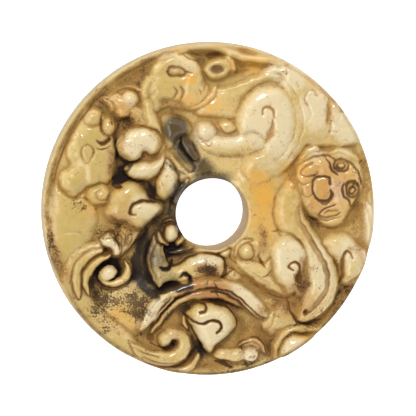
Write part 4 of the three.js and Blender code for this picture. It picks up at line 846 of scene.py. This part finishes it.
def profile(face_step, side_steps):
    """The disc's section from the hole's underside up the hole, over the face and down the rim."""
    points = []
    for k in range(4):
        a = math.pi / 2 * k / 3
        points.append((HOLE_RADIUS + HOLE_ROUNDING * (1 - math.sin(a)), HOLE_ROUNDING * (1 - math.cos(a))))
    for k in range(1, side_steps):
        t = k / side_steps
        points.append((HOLE_RADIUS, HOLE_ROUNDING + (GROUND - 2 * HOLE_ROUNDING) * t))
    for k in range(5):
        a = math.pi / 2 * k / 4
        points.append((HOLE_RADIUS + HOLE_ROUNDING * (1 - math.cos(a)),
                       GROUND - HOLE_ROUNDING * (1 - math.sin(a))))
    inner = HOLE_RADIUS + HOLE_ROUNDING
    outer = RADIUS - FACE_ROUNDING
    rings = round((outer - inner) / face_step)
    for k in range(1, rings + 1):
        points.append((inner + (outer - inner) * k / rings, GROUND))
    for k in range(1, 6):
        a = math.pi / 2 * k / 5
        points.append((outer + (FACE_ROUNDING - SIDE_BULGE) * math.sin(a), GROUND - FACE_ROUNDING * (1 - math.cos(a))))
    for k in range(1, side_steps):
        t = k / side_steps
        bulge = SIDE_BULGE * math.sin(math.pi * t)
        points.append((RADIUS - SIDE_BULGE + bulge, GROUND - FACE_ROUNDING
                       - (GROUND - FACE_ROUNDING - UNDER_ROUNDING) * t))
    for k in range(5):
        a = math.pi / 2 * k / 4
        points.append((RADIUS - UNDER_ROUNDING + (UNDER_ROUNDING - SIDE_BULGE) * math.cos(a),
                       UNDER_ROUNDING * (1 - math.sin(a))))
    under = 14
    outer = RADIUS - UNDER_ROUNDING
    inner = HOLE_RADIUS + HOLE_ROUNDING
    for k in range(1, under):
        points.append((outer + (inner - outer) * k / under, 0.0))
    return points


def spun_disc(steps, face_step, side_steps):
    """Spins the section round the disc's axis, then makes it finer where the rings are long."""
    bm = bmesh.new()
    verts = [bm.verts.new((r, 0, z)) for r, z in profile(face_step, side_steps)]
    edges = [bm.edges.new((a, b)) for a, b in zip(verts, verts[1:] + verts[:1])]
    bmesh.ops.spin(bm, geom=verts + edges, cent=(0, 0, 0), axis=(0, 0, 1), angle=math.tau, steps=steps,
                   use_merge=True)
    bmesh.ops.remove_doubles(bm, verts=bm.verts[:], dist=1e-5)
    long_ones = []
    for edge in bm.edges:
        a, b = edge.verts
        ra, rb = math.hypot(a.co.x, a.co.y), math.hypot(b.co.x, b.co.y)
        if abs(ra - rb) < 1e-4 and abs(a.co.z - b.co.z) < 1e-6 and ra > RADIUS / 2 and a.co.z > GROUND - 2.5:
            long_ones.append(edge)
    bmesh.ops.subdivide_edges(bm, edges=long_ones, cuts=1)
    bmesh.ops.triangulate(bm, faces=[face for face in bm.faces if len(face.verts) > 4])
    bmesh.ops.recalc_face_normals(bm, faces=bm.faces[:])
    return bm


def carved_disc(settings):
    """The disc as one closed mesh with its relief, in metres."""
    face = carve()
    bm = spun_disc(settings.segments, settings.face_step, settings.side_steps)
    mesh = bpy.data.meshes.new("bi_disc_carving")
    bm.to_mesh(mesh)
    bm.free()
    places = np.empty(len(mesh.vertices) * 3, np.float32)
    mesh.vertices.foreach_get("co", places)
    places = places.reshape(-1, 3).astype(float)
    x, y, z = places.T
    radius = np.hypot(x, y)
    share = np.clip((radius - HOLE_RADIUS) / (RADIUS - FACE_ROUNDING - HOLE_RADIUS), 0, 1)
    x = x + HOLE_X * (1 - share)
    y = y + HOLE_Y * (1 - share)
    inner = smooth((radius - HOLE_RADIUS - 0.3) / 1.5) * smooth((RADIUS - 1 - radius) / 1.5)
    u, v = x + sway(SWAY_X, x, y) * inner, y + sway(SWAY_Y, x, y) * inner
    level = sampled(face.level, u, v) * settings.depth
    height = THICKNESS - GROUND
    start = z
    upper = smooth((z - LIFT_FROM) / LIFT_OVER)
    z = z + level * height * upper
    z = np.clip(z, 0, THICKNESS)
    places = np.stack([x, y, z], 1) * MM
    mesh.vertices.foreach_set("co", places.astype(np.float32).ravel())
    up = smooth((z - STAIN_FROM) / STAIN_OVER)
    for name, values in face.masks.items():
        layer = mesh.attributes.new(name, "FLOAT", "POINT")
        found = sampled(values, u, v)
        if name in ("line", "cavity", "crease"):
            found = found * up
        layer.data.foreach_set("value", found.astype(np.float32))
    for name, values in (
            ("wall", smooth((GROUND - FACE_ROUNDING * 0.9 - start) / 0.5) * smooth((radius - RADIUS + 0.6) / 0.3)),
            ("bore", smooth((GROUND - HOLE_ROUNDING * 0.3 - start) / 0.3)
                * smooth((HOLE_RADIUS + 0.5 - radius) / 0.3))):
        layer = mesh.attributes.new(name, "FLOAT", "POINT")
        layer.data.foreach_set("value", values.astype(np.float32))
    mesh.polygons.foreach_set("use_smooth", [True] * len(mesh.polygons))
    mesh.update()
    return mesh


# The stone.

class Nodes:
    """Short ways to add and join shader nodes in one tree."""

    def __init__(self, tree):
        self.tree = tree

    def add(self, kind, **values):
        node = self.tree.nodes.new(kind)
        for name, value in values.items():
            setattr(node, name, value)
        return node

    def feed(self, socket, value):
        if isinstance(value, bpy.types.NodeSocket):
            self.tree.links.new(value, socket)
        else:
            socket.default_value = value if isinstance(value, (int, float)) else tuple(value)

    def attribute(self, name):
        node = self.add("ShaderNodeAttribute", attribute_name=name)
        return node.outputs["Fac"]

    def math(self, operation, a, b=0.0):
        node = self.add("ShaderNodeMath", operation=operation)
        self.feed(node.inputs[0], a)
        self.feed(node.inputs[1], b)
        return node.outputs[0]

    def spread(self, value, low, high, out_low=0.0, out_high=1.0):
        node = self.add("ShaderNodeMapRange", interpolation_type="SMOOTHSTEP")
        self.feed(node.inputs["Value"], value)
        node.inputs["From Min"].default_value = low
        node.inputs["From Max"].default_value = high
        node.inputs["To Min"].default_value = out_low
        node.inputs["To Max"].default_value = out_high
        return node.outputs["Result"]

    def noise(self, where, scale, detail=3.0, roughness=0.55):
        node = self.add("ShaderNodeTexNoise")
        self.feed(node.inputs["Vector"], where)
        node.inputs["Scale"].default_value = scale
        node.inputs["Detail"].default_value = detail
        node.inputs["Roughness"].default_value = roughness
        return node.outputs["Fac"]

    def mix(self, share, a, b):
        node = self.add("ShaderNodeMix", data_type="RGBA")
        self.feed(node.inputs[0], share)
        self.feed(node.inputs[6], a)
        self.feed(node.inputs[7], b)
        return node.outputs[2]


def colour(red, green, blue):
    """A colour given as its 8-bit display values, as linear light."""
    parts = []
    for part in (red, green, blue):
        part /= 255
        parts.append(part / 12.92 if part <= 0.04045 else ((part + 0.055) / 1.055) ** 2.4)
    return (*parts, 1.0)


def jade_material(stone):
    """Mottled yellow jade, polished, with brown and black stain in the cuts, and with painted highlights and painted
    shade in its colour.
    """
    material = bpy.data.materials.new("jade")
    material.use_nodes = True
    n = Nodes(material.node_tree)
    shader = material.node_tree.nodes["Principled BSDF"]
    where = n.add("ShaderNodeTexCoord").outputs["Object"]
    cloud = n.noise(where, 90, 4)
    fine = n.noise(where, 620, 5, 0.65)
    grain = n.noise(where, 3000, 3, 0.7)
    vary = n.noise(where, 170, 2)
    ink, cavity, line, stain = (n.attribute(name) for name in ("ink", "cavity", "line", "stain"))

    def scaled(value, factor):
        return n.math("MULTIPLY", value, factor)

    def over(under, share, strength, tint):
        """Lays a tint over what is there, where its share says so."""
        return n.mix(scaled(share, strength), under, tint)

    def broken(name, low, high, amount=0.5):
        """A mask whose edge is broken up by the stone's own mottling."""
        jitter = scaled(n.math("SUBTRACT", fine, 0.5), amount)
        wide = scaled(n.math("SUBTRACT", cloud, 0.5), amount)
        raw = n.math("ADD", n.attribute(name), n.math("ADD", jitter, wide))
        return n.spread(raw, low, high)

    def flecks(share):
        """Fleck noise about 0, of the finer and the finest grain."""
        return n.math("SUBTRACT", n.math("ADD", scaled(fine, share), scaled(grain, 1 - share)), 0.5)

    def dusted(value, amount):
        return n.math("ADD", value, scaled(dust, amount))

    base = n.mix(n.spread(cloud, 0.35, 0.68), stone.honey, stone.cream)
    base = n.mix(n.spread(fine, 0.42, 0.75, 0, 0.5), base, stone.light_fleck)
    base = n.mix(n.spread(fine, 0.5, 0.28, 0, 0.45), base, stone.dark_fleck)
    base = over(base, broken("olive", 0.2, 0.9), 0.7, stone.olive)
    base = over(base, broken("amber", 0.0, 1.0, 1.6), 0.85, stone.amber)
    # Pale colour: the stone's own pale parts, and a few painted highlights.
    base = over(base, broken("pale_and_highlight", 0.1, 0.75), 0.85, stone.pale_and_highlight)
    base = over(base, broken("russet", 0.2, 0.9), 0.75, stone.russet)

    dust = flecks(0.6)
    # Smudge colours: brown stain on the surface, and in places painted shade below the lower edges of forms.
    smudge_and_shade = dusted(n.attribute("smudge_and_shade"), 2.6)
    base = over(base, n.spread(smudge_and_shade, 0.05, 0.6), 0.7, stone.thin_smudge_and_shade)
    base = over(base, n.spread(smudge_and_shade, 0.36, 1.05), 0.9, stone.thick_smudge_and_shade)
    wash = scaled(cavity, n.math("ADD", scaled(ink, 0.8), scaled(stain, 0.4)))
    wash = n.math("ADD", dusted(wash, 1.3), scaled(n.attribute("crease"), 0.22))
    base = over(base, n.spread(wash, 0.03, 0.36), 0.7, stone.thin_wash)
    base = over(base, n.spread(wash, 0.36, 0.95), 0.9, stone.thick_wash)
    # Rim colour: the rim's own stain at the upper left, and painted shade along the rounded outer edge, strongest on
    # the lower half.
    base = over(base, n.attribute("rim"), n.spread(fine, 0.3, 0.6, 0.55, 1.0), stone.rim)
    thread = scaled(line, n.math("ADD", scaled(stain, 0.62), 0.6))
    thread = dusted(scaled(thread, n.spread(vary, 0.35, 0.62, 0.72, 1.15)), 0.5)
    base = over(base, n.spread(thread, 0.05, 0.5), 0.75, stone.thin_line)
    base = over(base, n.spread(thread, 0.3, 0.9), 0.9, n.mix(stain, stone.clean_line, stone.stained_line))
    base = over(base, n.attribute("bore"), n.spread(cloud, 0.3, 0.7, 0.85, 1.0), stone.bore)
    base = over(base, n.spread(dusted(n.attribute("smoke"), 0.6), 0.08, 0.85), 0.92, stone.smoke)
    pool = scaled(n.math("ADD", cavity, scaled(line, 0.6)), scaled(ink, ink))
    base = n.mix(n.spread(dusted(pool, 0.9), 0.24, 0.75), base, stone.pool)
    base = over(base, n.spread(dusted(n.attribute("soot"), 1.4), 0.25, 0.8), 0.9, stone.soot)
    speckle = n.math("ADD", flecks(0.45), scaled(n.attribute("blot"), 0.18))
    speckle = n.spread(n.math("ADD", speckle, scaled(stain, 0.04)), 0.1, 0.2)
    base = over(base, speckle, 0.85, stone.speckle)
    base = over(base, n.attribute("wall"), 0.85, stone.wall)
    n.feed(shader.inputs["Base Color"], base)

    dull = n.math("ADD", n.math("ADD", cavity, scaled(line, 0.7)),
                  n.math("ADD", n.attribute("bore"), n.attribute("wall")))
    dull = n.math("ADD", dull, n.math("ADD", scaled(n.attribute("rim"), 0.7),
                                      scaled(n.spread(smudge_and_shade, 0.2, 0.9), 0.6)))
    dull = n.math("ADD", dull, scaled(speckle, 0.5))
    n.feed(shader.inputs["Roughness"], n.spread(n.math("ADD", dull, scaled(fine, 0.4)), 0.1, 1.0, 0.18, 0.55))
    n.feed(shader.inputs["Specular IOR Level"], n.spread(dull, 0.1, 0.8, 0.5, 0.08))
    shader.inputs["IOR"].default_value = 1.61
    shader.inputs["Subsurface Weight"].default_value = 0.25
    shader.inputs["Subsurface Radius"].default_value = (1.0, 0.7, 0.35)
    shader.inputs["Subsurface Scale"].default_value = 0.0008
    bump = n.add("ShaderNodeBump")
    bump.inputs["Strength"].default_value = 0.25
    bump.inputs["Distance"].default_value = 0.00008
    n.feed(bump.inputs["Height"], n.math("ADD", fine, scaled(grain, 0.5)))
    n.feed(shader.inputs["Normal"], bump.outputs["Normal"])
    return material


def floor_material():
    """A pale floor that shows no edge."""
    material = bpy.data.materials.new("floor_white")
    material.use_nodes = True
    shader = material.node_tree.nodes["Principled BSDF"]
    shader.inputs["Base Color"].default_value = (0.94, 0.94, 0.94, 1)
    shader.inputs["Roughness"].default_value = 0.9
    shader.inputs["Emission Color"].default_value = (1, 1, 1, 1)
    shader.inputs["Emission Strength"].default_value = 1.0
    return material


# Settings, operators and panel.

class BIDISC_PG_carving(bpy.types.PropertyGroup):
    segments: IntProperty(name="Segments", description="Steps of the spin round the axis", default=400, min=60)
    face_step: FloatProperty(name="Face Step", description="Distance between the face's rings, in millimetres",
                             default=0.19, min=0.05)
    side_steps: IntProperty(name="Side Steps", description="Rings down the rim and the hole", default=4, min=1)
    depth: FloatProperty(name="Depth", description="Share of the full depth of the relief", default=1.0,
                         min=0, max=1, subtype="FACTOR")


def tint(name, description, *shade):
    """A colour that a user can change."""
    return FloatVectorProperty(name=name, description=description, default=colour(*shade), size=4, min=0, max=1,
                               subtype="COLOR")


class BIDISC_PG_stone(bpy.types.PropertyGroup):
    honey: tint("Honey", "Darker clouds of the stone", 200, 170, 100)
    cream: tint("Cream", "Lighter clouds of the stone", 216, 190, 128)
    light_fleck: tint("Light Flecks", "Fine light mottling", 232, 216, 168)
    dark_fleck: tint("Dark Flecks", "Fine dark mottling", 168, 134, 70)
    olive: tint("Olive", "Greener parts of the stone", 192, 166, 96)
    amber: tint("Amber", "Orange parts of the stone", 224, 166, 68)
    # The pale colour is the stone's own pale parts, and also painted highlights.
    pale_and_highlight: tint("Pale", "Palest parts of the stone", 224, 208, 170)
    russet: tint("Russet", "Reddish parts of the stone", 176, 112, 62)
    # The smudge colours are brown stain, and in places painted shade below the lower edges of forms.
    thin_smudge_and_shade: tint("Thin Smudge", "Thin brown stain on the surface", 188, 146, 82)
    thick_smudge_and_shade: tint("Thick Smudge", "Thick brown stain on the surface", 108, 74, 38)
    thin_wash: tint("Thin Wash", "Thin stain in the low places", 160, 123, 64)
    thick_wash: tint("Thick Wash", "Thick stain in the low places", 98, 72, 42)
    # The rim colour is partly the rim's own stain and partly painted shade on the rounded outer edge.
    rim: tint("Rim Stain", "Stain along the rim", 116, 92, 52)
    thin_line: tint("Thin Line", "Edges of the cut lines", 176, 132, 68)
    clean_line: tint("Clean Line", "Cut lines where the stone is clean", 140, 100, 46)
    stained_line: tint("Stained Line", "Cut lines where the stone is stained", 76, 48, 26)
    bore: tint("Hole's Wall", "Wall of the hole", 158, 130, 92)
    smoke: tint("Smoke", "Grey-brown veil over the stone", 68, 53, 33)
    pool: tint("Pools", "Black stain deep between the forms", 26, 18, 16)
    soot: tint("Soot", "Near-black streaks", 36, 26, 22)
    speckle: tint("Speckle", "Small dark dots", 62, 42, 26)
    wall: tint("Outer Wall", "Wall of the rim", 142, 132, 102)


class BIDISC_PG_stage(bpy.types.PropertyGroup):
    distance: FloatProperty(name="Camera Distance", description="From the disc to the camera", default=0.7,
                            unit="LENGTH")
    lens: FloatProperty(name="Lens", description="Focal length", default=337.7, unit="CAMERA")
    tilt: FloatProperty(name="Tilt", description="Camera's lean from straight above", default=math.radians(9.5),
                        subtype="ANGLE")
    towards: FloatProperty(name="Towards", description="Side the camera leans to, from the right turning left",
                           default=math.radians(140), subtype="ANGLE")
    key: FloatProperty(name="Key Light", description="Power of the light at the top", default=2.5)
    fill: FloatProperty(name="Fill Light", description="Power of the wide light at the left", default=1.6)


class BIDISC_OT_carving(bpy.types.Operator):
    """Build the carved jade disc over the frame's solid"""
    bl_idname = "bidisc.carving"
    bl_label = "Carved Disc"

    def execute(self, context):
        piece = bpy.data.objects.new("bi_disc_carving", carved_disc(context.scene.bidisc_carving))
        context.scene.collection.objects.link(piece)
        piece.data.materials.append(jade_material(context.scene.bidisc_stone))
        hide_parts("bi_disc")
        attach(piece, "root")
        return {"FINISHED"}


def area_light(context, name, place, size, power):
    """A round light that shines at the disc."""
    data = bpy.data.lights.new(name, "AREA")
    data.shape = "DISK"
    data.size = size
    data.energy = power
    light = bpy.data.objects.new(name, data)
    context.scene.collection.objects.link(light)
    light.location = place
    light.rotation_euler = (-Vector(place)).to_track_quat("-Z", "Y").to_euler()
    return light


class BIDISC_OT_stage(bpy.types.Operator):
    """Lay out the floor, the lights and the camera"""
    bl_idname = "bidisc.stage"
    bl_label = "Stage"

    def execute(self, context):
        settings = context.scene.bidisc_stage
        bm = bmesh.new()
        bmesh.ops.create_grid(bm, x_segments=1, y_segments=1, size=FLOOR_HALF)
        mesh = bpy.data.meshes.new("floor")
        bm.to_mesh(mesh)
        bm.free()
        floor = bpy.data.objects.new("floor", mesh)
        context.scene.collection.objects.link(floor)
        floor.location.z = -FLOOR_DROP
        mesh.materials.append(floor_material())

        world = bpy.data.worlds.new("studio")
        world.use_nodes = True
        world.node_tree.nodes["Background"].inputs["Color"].default_value = (1, 1, 1, 1)
        n = Nodes(world.node_tree)
        parts = n.add("ShaderNodeSeparateXYZ")
        n.feed(parts.inputs[0], n.add("ShaderNodeTexCoord").outputs["Generated"])
        n.feed(world.node_tree.nodes["Background"].inputs["Strength"],
               n.spread(parts.outputs["Z"], 0.7, 0.93, 0.95, 0.12))
        context.scene.world = world
        area_light(context, "fill_light", FILL_PLACE, FILL_SIZE, settings.fill)
        area_light(context, "key_light", KEY_PLACE, KEY_SIZE, settings.key)

        camera_data = bpy.data.cameras.new("camera")
        camera_data.lens = settings.lens
        camera_data.sensor_width = SENSOR_WIDTH
        camera_data.shift_y = SHIFT_UP
        camera_data.dof.use_dof = False
        camera = bpy.data.objects.new("camera", camera_data)
        context.scene.collection.objects.link(camera)
        lean = math.sin(settings.tilt)
        away = Vector((lean * math.cos(settings.towards), lean * math.sin(settings.towards), math.cos(settings.tilt)))
        aim = Vector((0, 0, AIM_HEIGHT))
        right = Vector((0, 1, 0)).cross(away).normalized()
        turned = Matrix((right, away.cross(right), away)).transposed().to_4x4()
        camera.matrix_world = Matrix.Translation(aim + away * settings.distance) @ turned
        context.scene.camera = camera
        context.scene.view_settings.view_transform = "Standard"
        return {"FINISHED"}


class BIDISC_PT_panel(bpy.types.Panel):
    bl_idname = "BIDISC_PT_panel"
    bl_label = "Jade Bi Disc"
    bl_space_type = "VIEW_3D"
    bl_region_type = "UI"
    bl_category = "Bi Disc"

    def draw(self, context):
        layout = self.layout
        for name, group in SETTINGS.items():
            for setting in group.__annotations__:
                layout.prop(getattr(context.scene, name), setting)
        layout.operator(BIDISC_OT_carving.bl_idname)
        layout.operator(BIDISC_OT_stage.bl_idname)


SETTINGS = {"bidisc_carving": BIDISC_PG_carving, "bidisc_stone": BIDISC_PG_stone, "bidisc_stage": BIDISC_PG_stage}
CLASSES = (*SETTINGS.values(), BIDISC_OT_carving, BIDISC_OT_stage, BIDISC_PT_panel)


def register():
    for cls in CLASSES:
        bpy.utils.register_class(cls)
    for name, group in SETTINGS.items():
        setattr(bpy.types.Scene, name, PointerProperty(type=group))


def unregister():
    for name in SETTINGS:
        delattr(bpy.types.Scene, name)
    for cls in reversed(CLASSES):
        bpy.utils.unregister_class(cls)


def main():
    register()
    bpy.ops.bidisc.carving()
    bpy.ops.bidisc.stage()


if __name__ == "__main__":
    main()
